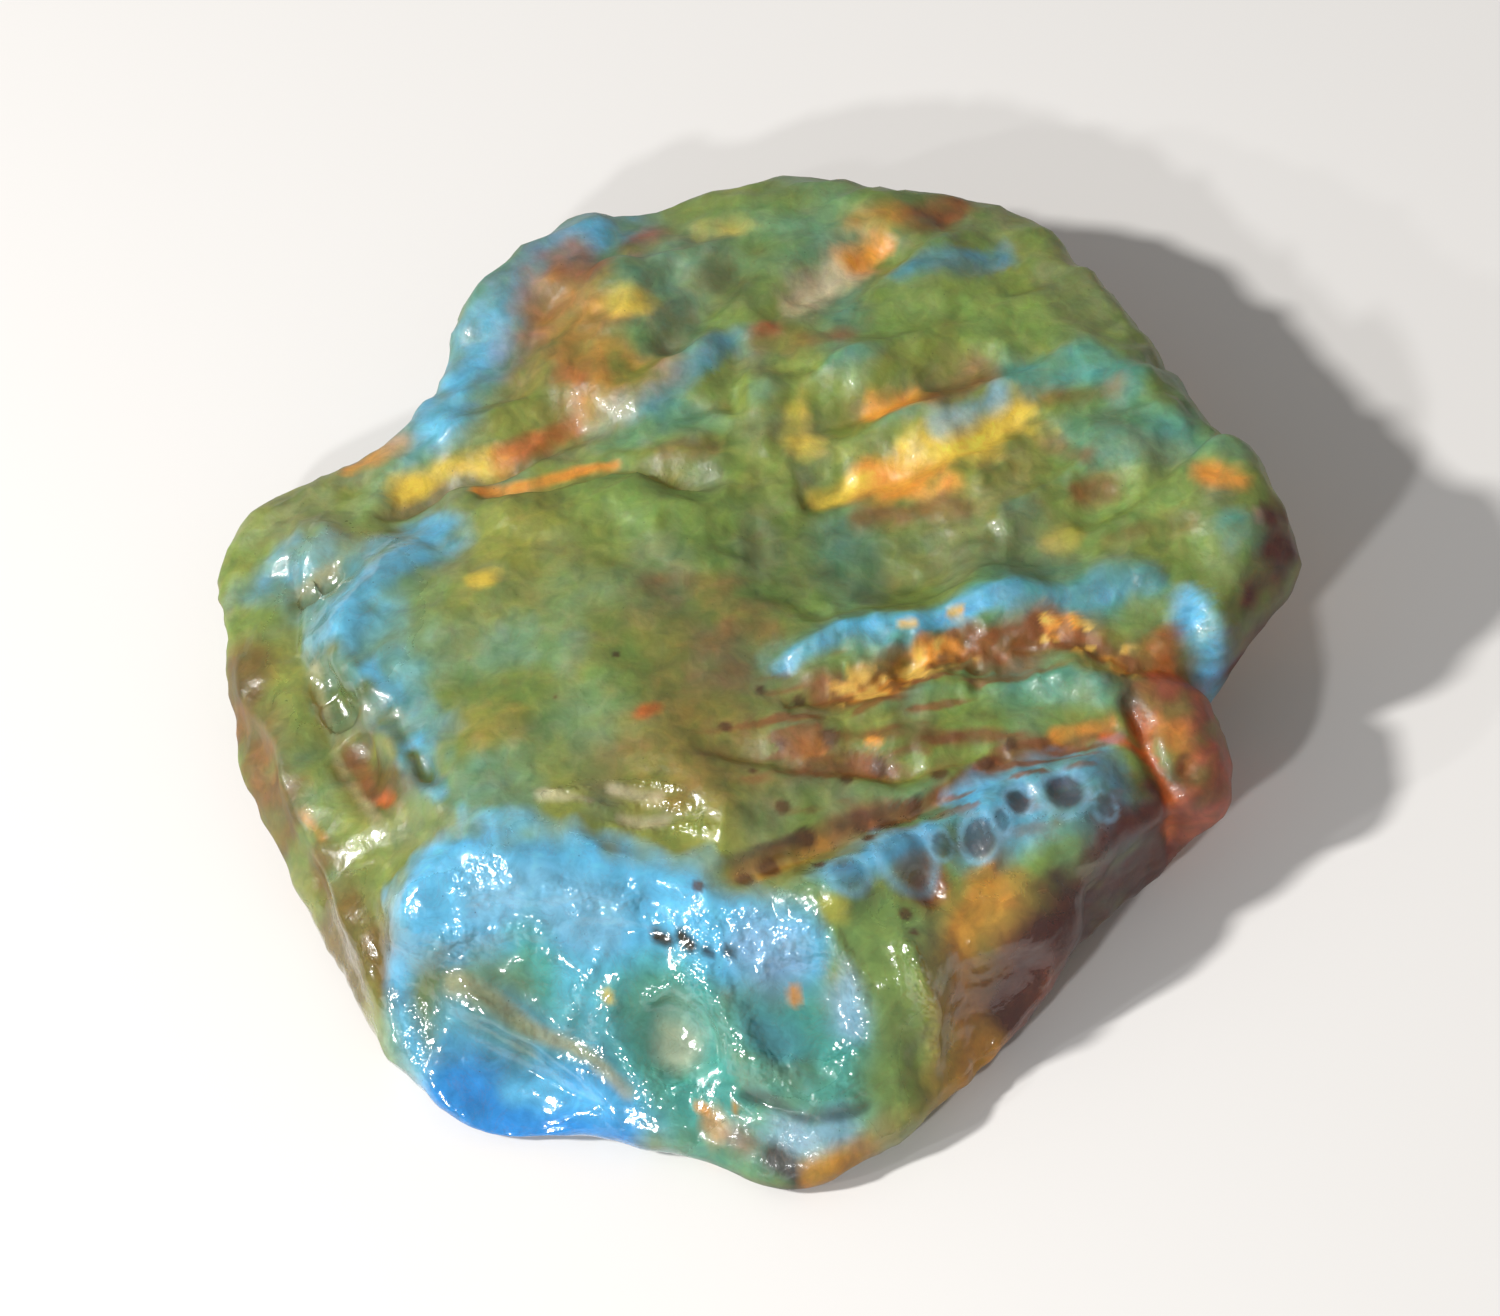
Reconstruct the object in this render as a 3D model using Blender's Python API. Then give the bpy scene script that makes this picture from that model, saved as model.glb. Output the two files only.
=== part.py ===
"""A rough, broken nugget of blue amber: one solid piece lying on a flat facet, in metres with +Z up.

All sizes below are in millimetres about the middle of the nugget's footprint, with X to the right and Y away
from the viewer. The form is an outline seen from above at three levels, a set of spot heights for the top and
the underside, swellings added to it and chipped hollows taken out of it. A divided cube is wrapped on to that
form, and the ridges, grooves and pits are then raised or sunk along its surface.
"""

import bmesh
import bpy
import numpy as np

MM = 0.001
COLLECTION = "Amber"
PIECE = "amber_nugget"
AMBER_COLOUR = (0.16, 0.30, 0.20, 1.0)
AMBER_ROUGHNESS = 0.12

# How finely the cube is divided along each side before it is wrapped.
CUBE_CUTS = 27

# Where the nugget is widest: direction in degrees from +X, distance from the middle, height.
RIM = [
    (6, 20.0, 6.9), (13, 19.6, 7.6), (24, 19.4, 7.4), (34, 19.3, 7.0), (45, 20.1, 6.6), (54, 21.4, 6.2),
    (62, 22.4, 5.8), (68, 22.2, 5.5), (76, 21.7, 5.3), (85, 21.7, 5.2), (93, 21.3, 5.2), (102, 21.1, 5.2),
    (109, 21.0, 5.1), (116, 20.2, 5.0), (123, 18.6, 4.8), (130, 17.8, 4.6), (137, 16.9, 4.4), (142, 17.1, 4.3),
    (149, 17.6, 4.2), (155, 18.6, 4.0), (162, 20.5, 3.8), (168, 20.9, 3.6), (178, 20.3, 3.4), (186, 20.1, 3.2),
    (192, 20.1, 3.0), (200, 19.8, 2.8), (210, 19.8, 2.6), (220, 20.2, 2.3), (227, 20.9, 2.0), (233, 21.4, 1.8),
    (238, 21.8, 1.5), (243, 21.9, 1.4), (249, 21.0, 1.5), (254, 20.2, 1.4), (259, 20.3, 1.3), (265, 20.7, 1.2),
    (271, 21.6, 1.1), (276, 21.8, 1.2), (281, 21.0, 1.6), (287, 20.1, 2.3), (294, 19.5, 3.0), (303, 18.5, 3.5),
    (311, 17.9, 3.8), (322, 17.8, 4.1), (331, 18.1, 4.4), (338, 18.1, 4.6), (345, 17.6, 5.0), (351, 17.2, 5.2),
    (357, 18.9, 6.0),
]

# Where the sides turn over into the top.
UPPER = [
    (4, 19.2, 7.9), (13, 19.8, 8.6), (25, 19.1, 8.3), (35, 18.9, 7.7), (46, 19.3, 7.3), (54, 20.4, 6.9),
    (62, 21.2, 6.5), (76, 21.0, 6.2), (90, 20.8, 6.1), (101, 20.2, 6.0), (115, 19.6, 5.9), (123, 18.2, 5.6),
    (137, 16.2, 5.5), (149, 16.3, 5.3), (157, 16.4, 5.3), (166, 14.8, 5.9), (178, 14.6, 6.4), (187, 15.3, 6.5),
    (198, 14.2, 6.9), (211, 14.0, 7.4), (220, 14.6, 7.8), (227, 15.6, 7.9), (233, 14.3, 8.0), (243, 12.7, 8.1),
    (260, 12.0, 8.0), (274, 13.0, 7.7), (285, 14.3, 7.2), (293, 14.6, 6.9), (304, 14.2, 6.9), (319, 14.9, 7.0),
    (330, 15.7, 7.0), (342, 16.0, 6.9), (352, 16.4, 7.4),
]

# How far the nugget draws in between its widest level and the ground.
UNDERCUT = [
    (0, 3.6, 0), (45, 3.0, 0), (90, 2.6, 0), (130, 1.8, 0), (165, 2.0, 0), (200, 1.5, 0), (230, 0.7, 0),
    (270, 0.4, 0), (290, 1.0, 0), (315, 2.0, 0), (340, 2.6, 0),
]

# Spot heights of the top.
TOP = [
    (-15.5, -1.0, 6.6), (-13.5, 2.6, 6.9), (-13.6, -4.6, 7.1), (-12.2, -8.0, 7.7), (-11.6, -11.0, 8.1),
    (-10.3, -0.2, 7.7), (-5.8, -0.6, 8.0), (-5.8, -5.1, 8.2), (-7.2, -7.9, 8.1), (-2.1, -2.8, 8.0),
    (-3.6, -8.6, 8.1), (-8.5, -11.0, 8.2), (-4.0, -11.8, 8.1), (0.8, -8.2, 7.9), (1.0, -5.5, 7.9),
    (-4.2, 3.2, 7.9), (-8.8, 3.0, 7.4), (-13.4, 6.2, 5.5), (-10.4, 6.8, 5.9), (-7.5, 8.0, 6.3),
    (-4.6, 8.0, 6.7), (-1.4, 6.6, 7.1), (-15.4, 7.6, 5.1), (-13.2, 9.6, 5.5), (-11.4, 12.8, 5.9),
    (-9.2, 14.8, 6.5), (-7.6, 12.0, 6.3), (-4.9, 14.4, 7.0), (-8.0, 17.6, 6.1), (-2.6, 12.3, 7.0),
    (-1.4, 10.6, 7.4), (-4.5, 10.2, 7.0), (-3.4, 17.8, 6.4), (1.2, 13.7, 7.1), (1.0, 18.8, 6.3),
    (4.7, 16.6, 7.1), (8.4, 18.4, 6.6), (1.6, 8.0, 7.5), (5.7, 9.2, 7.7), (8.8, 10.4, 7.8),
    (2.6, 4.3, 7.4), (6.8, 5.9, 7.9), (10.4, 7.8, 8.0), (7.0, 13.8, 7.4), (11.2, 13.0, 7.4),
    (11.2, 3.4, 8.1), (14.6, 6.0, 8.5), (17.6, 3.4, 8.9), (16.2, 8.8, 8.2), (13.2, 11.4, 7.8),
    (1.4, 0.6, 7.5), (5.4, 1.1, 7.6), (10.0, 1.4, 8.0), (14.0, 2.2, 8.6), (3.4, -1.9, 8.1),
    (8.8, -0.7, 8.6), (14.5, 0.4, 8.9), (4.6, -3.9, 7.7), (10.7, -2.7, 7.8), (14.4, -2.4, 7.6),
    (5.0, -6.4, 7.6), (10.0, -5.0, 7.5), (3.0, -10.4, 7.5), (8.2, -8.4, 7.3), (12.6, -6.6, 7.2),
    (1.6, -12.6, 7.5), (5.4, -13.2, 6.8),
]
TOP_REACH = 1.2

# Spot heights of the underside: below zero it is cut off flat by the ground.
UNDERSIDE = [
    (0, 0, -0.6), (8, 2, -0.5), (-8, -2, -0.5), (0, 9, -0.3), (2, -9, -0.4), (-8, 8, 0.1), (9, -8, 0.2),
    (15, 4, 0.9), (12, 12, 0.8), (3, 17, 0.9), (-6, 16, 0.6), (-14, 6, 0.7), (-17, 0, 0.7), (-15, -8, 0.3),
    (-9, -15, 0.1), (0, -18, -0.1), (6, -15, 0.4), (13, -6, 1.0),
]
UNDERSIDE_REACH = 3.0

# Swellings fused into the form: middle, half sizes.
SWELLINGS = [
    ((15.4, -6.0, 4.6), (1.7, 2.5, 2.1)),
    ((16.5, -0.9, 7.0), (1.2, 1.4, 1.5)),
    ((17.6, 2.6, 7.3), (1.9, 2.2, 1.5)),
    ((11.0, -8.4, 5.8), (2.6, 1.8, 1.7)),
    ((8.4, -12.2, 4.0), (2.6, 2.4, 1.9)),
    ((-10.4, -11.8, 5.3), (2.8, 2.2, 2.2)),
    ((2.2, 19.0, 4.0), (3.6, 2.4, 2.0)),
    ((12.6, 12.6, 4.0), (2.6, 2.8, 2.2)),
    ((-9.0, 14.4, 4.4), (2.2, 2.2, 1.6)),
]
SWELLING_BLEND = 1.2

# Chipped hollows: a point on the surface, the way the hollow faces, its radius of curvature, its depth.
HOLLOWS = [
    ((-8.4, -17.0, 3.1), (-0.15, -0.68, 0.72), 7.0, 0.85),
    ((-3.2, -16.6, 3.8), (0.00, -0.70, 0.71), 3.2, 0.35),
    ((1.5, -16.3, 4.6), (0.05, -0.68, 0.73), 4.2, 0.30),
    ((-4.6, -13.4, 6.4), (0.00, -0.72, 0.69), 4.6, 0.40),
    ((-8.4, -13.6, 6.6), (-0.10, -0.72, 0.69), 4.0, 0.30),
    ((-4.6, -9.9, 8.1), (0.05, -0.10, 0.99), 6.0, 0.50),
    ((3.6, 3.0, 7.6), (-0.08, -0.05, 0.99), 9.0, 0.75),
    ((-18.6, -2.6, 4.4), (-0.80, -0.10, 0.59), 7.0, 0.50),
    ((-16.5, -9.4, 4.0), (-0.86, -0.20, 0.47), 9.0, 0.55),
    ((-14.8, -13.4, 3.6), (-0.88, -0.35, 0.32), 7.0, 0.50),
    ((-16.9, 1.9, 5.3), (-0.40, 0.00, 0.92), 0.9, 0.35),
    ((-16.2, 2.3, 5.5), (-0.40, 0.00, 0.92), 0.9, 0.35),
    ((-15.9, -2.7, 5.9), (-0.55, -0.10, 0.83), 1.5, 0.40),
    ((-15.4, -3.7, 5.9), (-0.55, -0.20, 0.81), 1.5, 0.40),
    ((-14.6, -6.2, 5.8), (-0.70, -0.20, 0.69), 2.0, 0.45),
    ((-14.1, -7.1, 5.9), (-0.70, -0.20, 0.69), 2.1, 0.50),
    ((-13.7, -7.9, 6.0), (-0.70, -0.20, 0.69), 1.6, 0.40),
    ((-13.8, -4.6, 6.4), (-0.40, -0.10, 0.91), 1.3, 0.30),
    ((-12.2, -7.4, 7.0), (-0.45, -0.10, 0.89), 1.0, 0.30),
    ((6.8, -16.4, 3.6), (0.60, -0.62, 0.50), 6.0, 0.50),
    ((13.4, -10.6, 3.0), (0.76, -0.60, 0.25), 6.5, 0.55),
    ((18.6, 8.2, 4.4), (0.88, 0.40, -0.20), 9.0, 0.80),
    ((13.6, 16.4, 4.6), (0.66, 0.74, -0.05), 8.0, 0.70),
    ((5.6, 20.6, 3.8), (0.20, 0.97, -0.10), 9.0, 0.75),
    ((-4.6, 19.8, 3.6), (-0.22, 0.97, -0.10), 7.0, 0.60),
    ((-12.8, 10.8, 3.4), (-0.76, 0.64, -0.10), 6.0, 0.55),
    ((17.4, -1.6, 3.2), (0.95, -0.10, -0.30), 6.0, 0.60),
    ((-18.7, -0.6, 1.4), (-0.80, 0.10, -0.59), 8.0, 0.35),
    ((11.0, 7.0, 0.3), (0.30, 0.20, -0.93), 11.0, 0.80),
    ((-11.5, 3.0, 0.2), (-0.25, 0.10, -0.96), 10.0, 0.60),
    ((-3.0, 12.5, 0.2), (-0.10, 0.30, -0.95), 9.0, 0.60),
    ((8.5, -10.0, 0.2), (0.30, -0.30, -0.90), 8.0, 0.55),
]
HOLLOW_BLEND = 0.3

# Ridges (raised) and grooves (sunk) of the upper side: half width, height, how much wider the slope on the
# left of the line is than the one on its right, and the line it follows seen from above.
STROKES = [
    # The crest above the left flank, and the cuts along it.
    (1.5, 0.40, -0.3, [(-12.2, 3.3), (-14.8, 0.5), (-15.3, -1.8), (-13.5, -4.4), (-12.3, -7.4),
                       (-11.5, -9.5)]),
    (0.9, -0.35, 0.4, [(-17.4, 1.7), (-16.6, 2.1), (-15.6, 2.6)]),
    (0.9, -0.40, -0.4, [(-16.1, -1.8), (-15.7, -3.2), (-15.0, -4.4)]),
    (1.0, -0.35, -0.4, [(-14.9, -5.2), (-14.1, -7.0), (-13.4, -8.6)]),
    (0.9, -0.55, 0.2, [(-13.4, -4.6), (-12.4, -6.8), (-11.8, -8.4)]),
    # The crease between the smooth top and the block at the back left, and the thin one beside it.
    (1.5, -0.95, 0.5, [(-14.6, 5.4), (-10.5, 6.7), (-7.5, 8.1), (-4.6, 8.6)]),
    (0.8, -0.45, 0.3, [(-10.8, 5.3), (-8.2, 5.4), (-5.6, 6.1), (-0.9, 5.3)]),
    # The step down from the smooth top into the valley on its right.
    (2.0, -0.35, 0.0, [(-0.9, 6.3), (-0.2, 3.6), (0.6, 1.3), (2.2, 0.4), (5.3, 0.7), (10.8, 1.2),
                       (13.4, 2.0)]),
    # The blue ridge, and the pitted crust below it.
    (1.3, 0.55, 0.3, [(0.0, -3.4), (3.4, -2.0), (7.4, -1.1), (10.8, -0.5), (14.5, 0.2)]),
    (1.3, -0.80, -0.3, [(0.9, -5.3), (4.5, -3.8), (7.0, -2.8), (10.7, -2.4), (13.3, -2.6)]),
    (0.9, 0.35, 0.0, [(3.0, -5.7), (7.2, -4.5), (11.2, -4.0), (13.8, -4.2)]),
    # The long brown groove and a shorter one behind it.
    (1.1, -0.60, -0.2, [(-1.8, -12.6), (1.5, -11.6), (4.4, -9.7), (7.3, -9.0), (9.1, -7.3), (11.0, -6.6),
                        (13.4, -6.0)]),
    (1.0, -0.45, 0.2, [(-2.6, -7.0), (1.5, -7.7), (5.1, -7.9), (9.2, -6.9)]),
    (0.9, 0.18, 0.0, [(0.2, -6.4), (4.6, -6.7), (8.8, -5.6)]),
    # The roll with the blue crest along the right of the front.
    (1.6, 0.45, -0.2, [(0.6, -13.6), (3.7, -11.9), (6.9, -10.2), (10.2, -8.4), (13.0, -7.4)]),
    # The clefts beside the lobe on the right.
    (0.9, -0.85, 0.0, [(13.0, -2.9), (15.3, -3.2), (17.6, -3.1)]),
    (0.8, -0.65, 0.0, [(13.4, -4.4), (14.0, -5.4), (14.2, -6.7), (15.0, -7.9), (15.6, -9.0)]),
    # The front edge of the top.
    (1.4, 0.35, -0.2, [(-11.6, -11.8), (-8.6, -11.9), (-5.7, -12.0), (-2.1, -12.6), (0.4, -13.8)]),
    # The corner between the left flank and the front face.
    (1.1, 0.50, 0.0, [(-11.4, -11.6), (-13.2, -14.6), (-13.2, -17.4)]),
    # The slanting edge across the hollow at the left of the front, and the one between the hollows.
    (0.7, 0.35, 0.4, [(-11.6, -15.0), (-8.4, -16.2), (-5.4, -18.6)]),
    (0.8, 0.20, 0.0, [(-4.6, -14.6), (-5.4, -16.2), (-5.8, -17.6)]),
    (0.9, 0.22, 0.0, [(-1.8, -14.6), (-1.0, -16.4), (0.4, -18.4)]),
    # Wrinkles of the right of the front.
    (1.1, 0.55, 0.3, [(5.0, -14.0), (6.0, -16.0), (6.5, -18.0)]),
    (0.8, -0.35, 0.0, [(7.0, -13.6), (7.8, -15.8), (8.0, -17.4)]),
    (1.0, -0.40, 0.0, [(8.6, -11.2), (11.0, -11.4), (12.8, -11.0)]),
    # The steps of the left flank.
    (1.3, 0.50, 0.5, [(-19.6, 0.6), (-18.7, -1.9), (-16.9, -5.9), (-15.7, -9.4), (-14.2, -13.3),
                      (-13.4, -16.6)]),
    (1.0, -0.35, -0.3, [(-17.6, 3.4), (-17.4, -0.6), (-15.6, -6.2)]),
    # The blue rim, the hollow and the steps of the block at the back left.
    (1.6, 0.60, 0.4, [(-13.0, 9.8), (-12.0, 12.0), (-10.6, 14.6), (-8.6, 17.2), (-5.6, 19.0)]),
    (2.0, -0.70, 0.2, [(-9.4, 9.8), (-8.8, 12.4), (-7.8, 15.4)]),
    (1.1, -0.55, 0.2, [(-5.4, 10.0), (-3.6, 12.0), (-2.0, 13.8), (-0.4, 16.0)]),
    (1.2, 0.45, -0.3, [(-6.2, 9.0), (-4.0, 10.6), (-2.4, 11.8), (-1.2, 12.6)]),
    (1.2, 0.45, 0.3, [(-5.6, 13.2), (-4.6, 14.8), (-2.6, 17.6)]),
    (1.1, -0.50, 0.4, [(-3.8, 8.4), (-0.9, 8.9), (-0.4, 12.4)]),
    # The slanting ridges and grooves of the block at the back right.
    (1.5, -0.50, 0.4, [(0.2, 12.8), (2.6, 14.8), (5.2, 17.4)]),
    (1.3, 0.35, -0.4, [(2.4, 12.6), (5.0, 15.0), (8.2, 17.8)]),
    (1.5, -0.50, 0.4, [(0.6, 7.2), (3.6, 8.4), (6.0, 9.4), (9.4, 10.8)]),
    (1.2, 0.35, -0.4, [(1.4, 9.4), (4.6, 11.0), (8.4, 12.8)]),
    (1.6, -0.60, 0.4, [(1.4, 4.4), (4.8, 5.2), (7.6, 6.4), (11.0, 8.0)]),
    (1.3, 0.35, -0.4, [(3.0, 6.8), (6.4, 8.2), (9.6, 9.6), (12.8, 11.2)]),
    (1.3, 0.35, -0.4, [(8.4, 3.0), (12.2, 5.2), (15.6, 8.4)]),
    (1.2, -0.35, 0.3, [(9.0, 13.6), (11.6, 15.4), (13.0, 17.6)]),
    (1.2, -0.35, 0.3, [(11.6, 2.6), (14.6, 4.2), (17.2, 6.8)]),
    (1.2, -0.30, 0.3, [(5.4, 12.6), (8.4, 14.4), (11.0, 17.6)]),
    (1.2, -0.30, 0.3, [(12.2, 8.0), (14.4, 10.2), (16.4, 11.4)]),
]
STROKE_ENDS = 0.18

# How far the lines wander: wave lengths along X and Y, a phase, and the distance.
WANDERINGS = [(5.4, 8.6, 0.7, 0.10), (-4.2, 6.4, 2.2, 0.10)]

# Round pits (sunk) and bubbles (raised) of the upper side: middle seen from above, radius, height.
SPOTS = [
    (16.0, -2.0, 1.1, -0.70), (2.9, -12.9, 1.0, 0.15), (5.1, -11.9, 1.3, 0.22), (7.6, -10.6, 1.0, -0.35),
    (9.4, -9.0, 1.0, -0.35), (11.1, -8.4, 1.2, -0.40), (6.0, -12.5, 0.8, -0.45), (10.3, -11.4, 1.3, 0.30),
    (15.8, -7.0, 0.7, -0.40),
    (5.4, -3.2, 1.0, -0.40), (10.2, -3.2, 1.1, -0.35), (-3.2, 12.0, 1.2, -0.40), (-17.9, 3.6, 0.7, 0.25),
    (-16.2, 4.3, 0.6, 0.22), (-14.2, 6.2, 0.7, 0.28),
    (-5.4, 15.4, 1.5, 0.45), (0.2, 9.4, 1.6, 0.45), (6.2, 14.6, 2.2, 0.40), (14.0, 9.6, 1.8, 0.35),
    (17.6, 5.4, 1.6, 0.35), (-16.6, 3.8, 1.5, 0.35), (-2.0, 16.0, 1.6, 0.35), (-11.4, 9.2, 1.4, 0.35),
]

# Soft unevenness everywhere: wave lengths along X, Y and Z, a phase, and the height.
WAVES = [
    (9.0, 13.0, 8.0, 0.4, 0.12), (-11.0, 7.5, 9.0, 1.9, 0.10), (6.0, -8.0, 5.0, 3.1, 0.08),
    (4.6, 5.2, -4.4, 0.9, 0.06),
]

# Edges between side and top, between the two halves of the side, and between side and underside.
TOP_EDGE = 1.8
RIM_EDGE = 1.0
FOOT_EDGE = 1.2

# The height of the middle of the top, for laying the cube's points out, and the steps that settle them.
MIDDLE_HEIGHT = 8.0
SETTLING_STEPS = 5

# How often the points are evened out over the form, and how far each time.
EVENING_ROUNDS = 12
EVENING_SHARE = 0.6
SLOPE_STEP = 0.05
LEAST_SLOPE = 0.2
LEAST_RUN = 0.001

# How far a face must turn up for the relief to start on it and to be full, how near to the ground everything
# fades out, and below which height a point lies on the ground.
RELIEF_START = -0.15
RELIEF_FULL = 0.20
NEAR_GROUND = 1.2
GROUND_SNAP = 0.02


def smooth_max(first, second, width):
    share = np.clip(0.5 + 0.5 * (first - second) / width, 0.0, 1.0)
    return second * (1.0 - share) + first * share + width * share * (1.0 - share)


def smooth_min(first, second, width):
    return -smooth_max(-first, -second, width)


def around(table, column, angle):
    """A column of a table by direction, joined up smoothly all the way round."""
    rows = np.array(table, float)
    turn = np.array([360.0, 0.0, 0.0])
    rows = np.vstack([rows[-2:] - turn, rows, rows[:2] + turn])
    knots, values = rows[:, 0], rows[:, column]
    slopes = np.gradient(values, knots)
    i = np.clip(np.searchsorted(knots, angle, side="right") - 1, 0, len(knots) - 2)
    span = knots[i + 1] - knots[i]
    t = (angle - knots[i]) / span
    rise = slopes[i] * span * t * (1 - t) ** 2 + slopes[i + 1] * span * t * t * (t - 1)
    return values[i] * (1 + 2 * t) * (1 - t) ** 2 + values[i + 1] * t * t * (3 - 2 * t) + rise


def spot_height(table, reach, x, y):
    """The height at (x, y), from the spot heights near it."""
    total = np.zeros_like(x)
    weights = np.zeros_like(x)
    for spot_x, spot_y, height in table:
        weight = 1.0 / ((x - spot_x) ** 2 + (y - spot_y) ** 2 + reach ** 2) ** 2
        total += weight * height
        weights += weight
    return total / weights


def side(radius, angle, z):
    """How far outside the nugget's side a point lies."""
    rim, rim_z = around(RIM, 1, angle), around(RIM, 2, angle)
    upper, upper_z = around(UPPER, 1, angle), around(UPPER, 2, angle)
    inward, rise = rim - upper, upper_z - rim_z
    above = ((radius - rim) * rise + (z - rim_z) * inward) / np.hypot(rise, inward)
    undercut = around(UNDERCUT, 1, angle)
    below = ((radius - rim) * rim_z - (z - rim_z) * undercut) / np.hypot(rim_z, undercut)
    return smooth_max(above, below, RIM_EDGE)


def body(points):
    """How far outside the nugget each point lies; below zero it is inside."""
    x, y, z = points.T
    angle = np.degrees(np.arctan2(y, x)) % 360.0
    far = side(np.hypot(x, y), angle, z)
    far = smooth_max(far, z - spot_height(TOP, TOP_REACH, x, y), TOP_EDGE)
    far = smooth_max(far, spot_height(UNDERSIDE, UNDERSIDE_REACH, x, y) - z, FOOT_EDGE)
    for middle, sizes in SWELLINGS:
        swelling = (np.linalg.norm((points - middle) / sizes, axis=1) - 1.0) * min(sizes)
        far = smooth_min(far, swelling, SWELLING_BLEND)
    for spot, facing, curve, depth in HOLLOWS:
        facing = np.array(facing) / np.linalg.norm(facing)
        middle = np.array(spot) + facing * (curve - depth)
        far = smooth_max(far, curve - np.linalg.norm(points - middle, axis=1), HOLLOW_BLEND)
    return np.maximum(far, -z)


def mound(distance, reach):
    return np.clip(1.0 - (distance / reach) ** 2, 0.0, 1.0) ** 2


def wandering(x, y):
    """The points pushed about a little, so that what follows a line strays from it."""
    moved_x, moved_y = x.copy(), y.copy()
    for along_x, along_y, phase, reach in WANDERINGS:
        turns = 2.0 * np.pi * (x / along_x + y / along_y)
        moved_x += reach * np.sin(turns + phase)
        moved_y += reach * np.cos(turns - phase)
    return moved_x, moved_y


def from_line(x, y, line):
    """Each point's distance from a bent line, how far along it that is, and on which side of it."""
    line = np.array(line)
    lengths = np.hypot(*np.diff(line, axis=0).T)
    reached = np.concatenate([[0.0], np.cumsum(lengths)]) / lengths.sum()
    nearest = np.full_like(x, np.inf)
    share, left = np.zeros_like(x), np.zeros_like(x)
    for i, length in enumerate(lengths):
        way = (line[i + 1] - line[i]) / length
        off_x, off_y = x - line[i, 0], y - line[i, 1]
        along = np.clip(off_x * way[0] + off_y * way[1], 0.0, length)
        distance = np.hypot(off_x - along * way[0], off_y - along * way[1])
        closer = distance < nearest
        nearest = np.where(closer, distance, nearest)
        share = np.where(closer, reached[i] + (reached[i + 1] - reached[i]) * along / length, share)
        left = np.where(closer, np.sign(way[0] * off_y - way[1] * off_x), left)
    return nearest, share, left


def relief(points):
    """The height of the ridges, grooves, pits and bubbles of the upper side."""
    x, y = wandering(points[:, 0], points[:, 1])
    height = np.zeros_like(x)
    for reach, rise, wider, line in STROKES:
        distance, share, left = from_line(x, y, line)
        ends = np.clip(np.minimum(share, 1.0 - share) / STROKE_ENDS, 0.0, 1.0) ** 0.5
        height += rise * ends * mound(distance, reach * (1.0 + wider * left))
    for spot_x, spot_y, reach, rise in SPOTS:
        height += rise * mound(np.hypot(x - spot_x, y - spot_y), reach)
    return height


def unevenness(points):
    height = np.zeros(len(points))
    for along_x, along_y, along_z, phase, rise in WAVES:
        turns = points[:, 0] / along_x + points[:, 1] / along_y + points[:, 2] / along_z
        height += rise * np.sin(2.0 * np.pi * turns + phase)
    return height


def corners(angle):
    """The corners of a cut from the middle of the top, over the side and back under."""
    nothing = np.zeros_like(angle)
    rim = around(RIM, 1, angle)
    foot = rim - around(UNDERCUT, 1, angle)
    distances = np.stack([nothing, around(UPPER, 1, angle), rim, foot, nothing], axis=1)
    middle = np.full_like(angle, MIDDLE_HEIGHT)
    heights = np.stack([middle, around(UPPER, 2, angle), around(RIM, 2, angle), nothing, nothing], axis=1)
    return distances, heights


def laid_out(directions):
    """Spreads a sphere of directions evenly over the outline's straight-sided form."""
    angle = np.degrees(np.arctan2(directions[:, 1], directions[:, 0])) % 360.0
    distances, heights = corners(angle)
    runs = np.hypot(np.diff(distances, axis=1), np.diff(heights, axis=1))
    areas = runs * (distances[:, 1:] + distances[:, :-1]) / 2.0
    left = (1.0 - directions[:, 2]) / 2.0 * areas.sum(axis=1)
    radius, height = np.zeros_like(angle), np.zeros_like(angle)
    for i in range(areas.shape[1]):
        here = left >= 0.0
        share = np.clip(left / areas[:, i], 0.0, 1.0)
        start, end = distances[:, i], distances[:, i + 1]
        reached = np.sqrt(start ** 2 * (1.0 - share) + end ** 2 * share)
        along = (reached - start) / np.where(np.abs(end - start) < LEAST_RUN, LEAST_RUN, end - start)
        radius = np.where(here, reached, radius)
        height = np.where(here, heights[:, i] + (heights[:, i + 1] - heights[:, i]) * along, height)
        left = left - areas[:, i]
    turn = np.radians(angle)
    return np.stack([radius * np.cos(turn), radius * np.sin(turn), height], axis=1)


def slope(points):
    """The direction in which each point leaves the nugget fastest, with its rate."""
    rise = [body(points + SLOPE_STEP * axis) - body(points - SLOPE_STEP * axis) for axis in np.eye(3)]
    return np.stack(rise, axis=1) / (2.0 * SLOPE_STEP)


def settled(points):
    """The points moved straight on to the surface."""
    rise = slope(points)
    return points - rise * (body(points) / np.maximum((rise ** 2).sum(axis=1), LEAST_SLOPE))[:, None]


def evened(points, edges):
    """The points slid along the surface until they are spread nearly evenly."""
    count = np.bincount(edges.ravel(), minlength=len(points))[:, None]
    for _ in range(EVENING_ROUNDS):
        total = np.zeros_like(points)
        np.add.at(total, edges[:, 0], points[edges[:, 1]])
        np.add.at(total, edges[:, 1], points[edges[:, 0]])
        points = settled(points + EVENING_SHARE * (total / count - points))
    return settled(points)


def surface(directions, edges):
    """The finished surface: the cube's points on the form, with its relief, flat on the ground."""
    points = laid_out(directions)
    for _ in range(SETTLING_STEPS):
        points = settled(points)
    points = evened(points, edges)
    facing = slope(points)
    facing /= np.linalg.norm(facing, axis=1)[:, None]
    on_top = np.clip((facing[:, 2] - RELIEF_START) / (RELIEF_FULL - RELIEF_START), 0.0, 1.0)
    off_ground = np.clip(points[:, 2] / NEAR_GROUND, 0.0, 1.0)
    height = relief(points) * on_top + unevenness(points)
    points += facing * (height * off_ground)[:, None]
    points[:, 2] = np.where(points[:, 2] < GROUND_SNAP, 0.0, points[:, 2])
    return points


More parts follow.
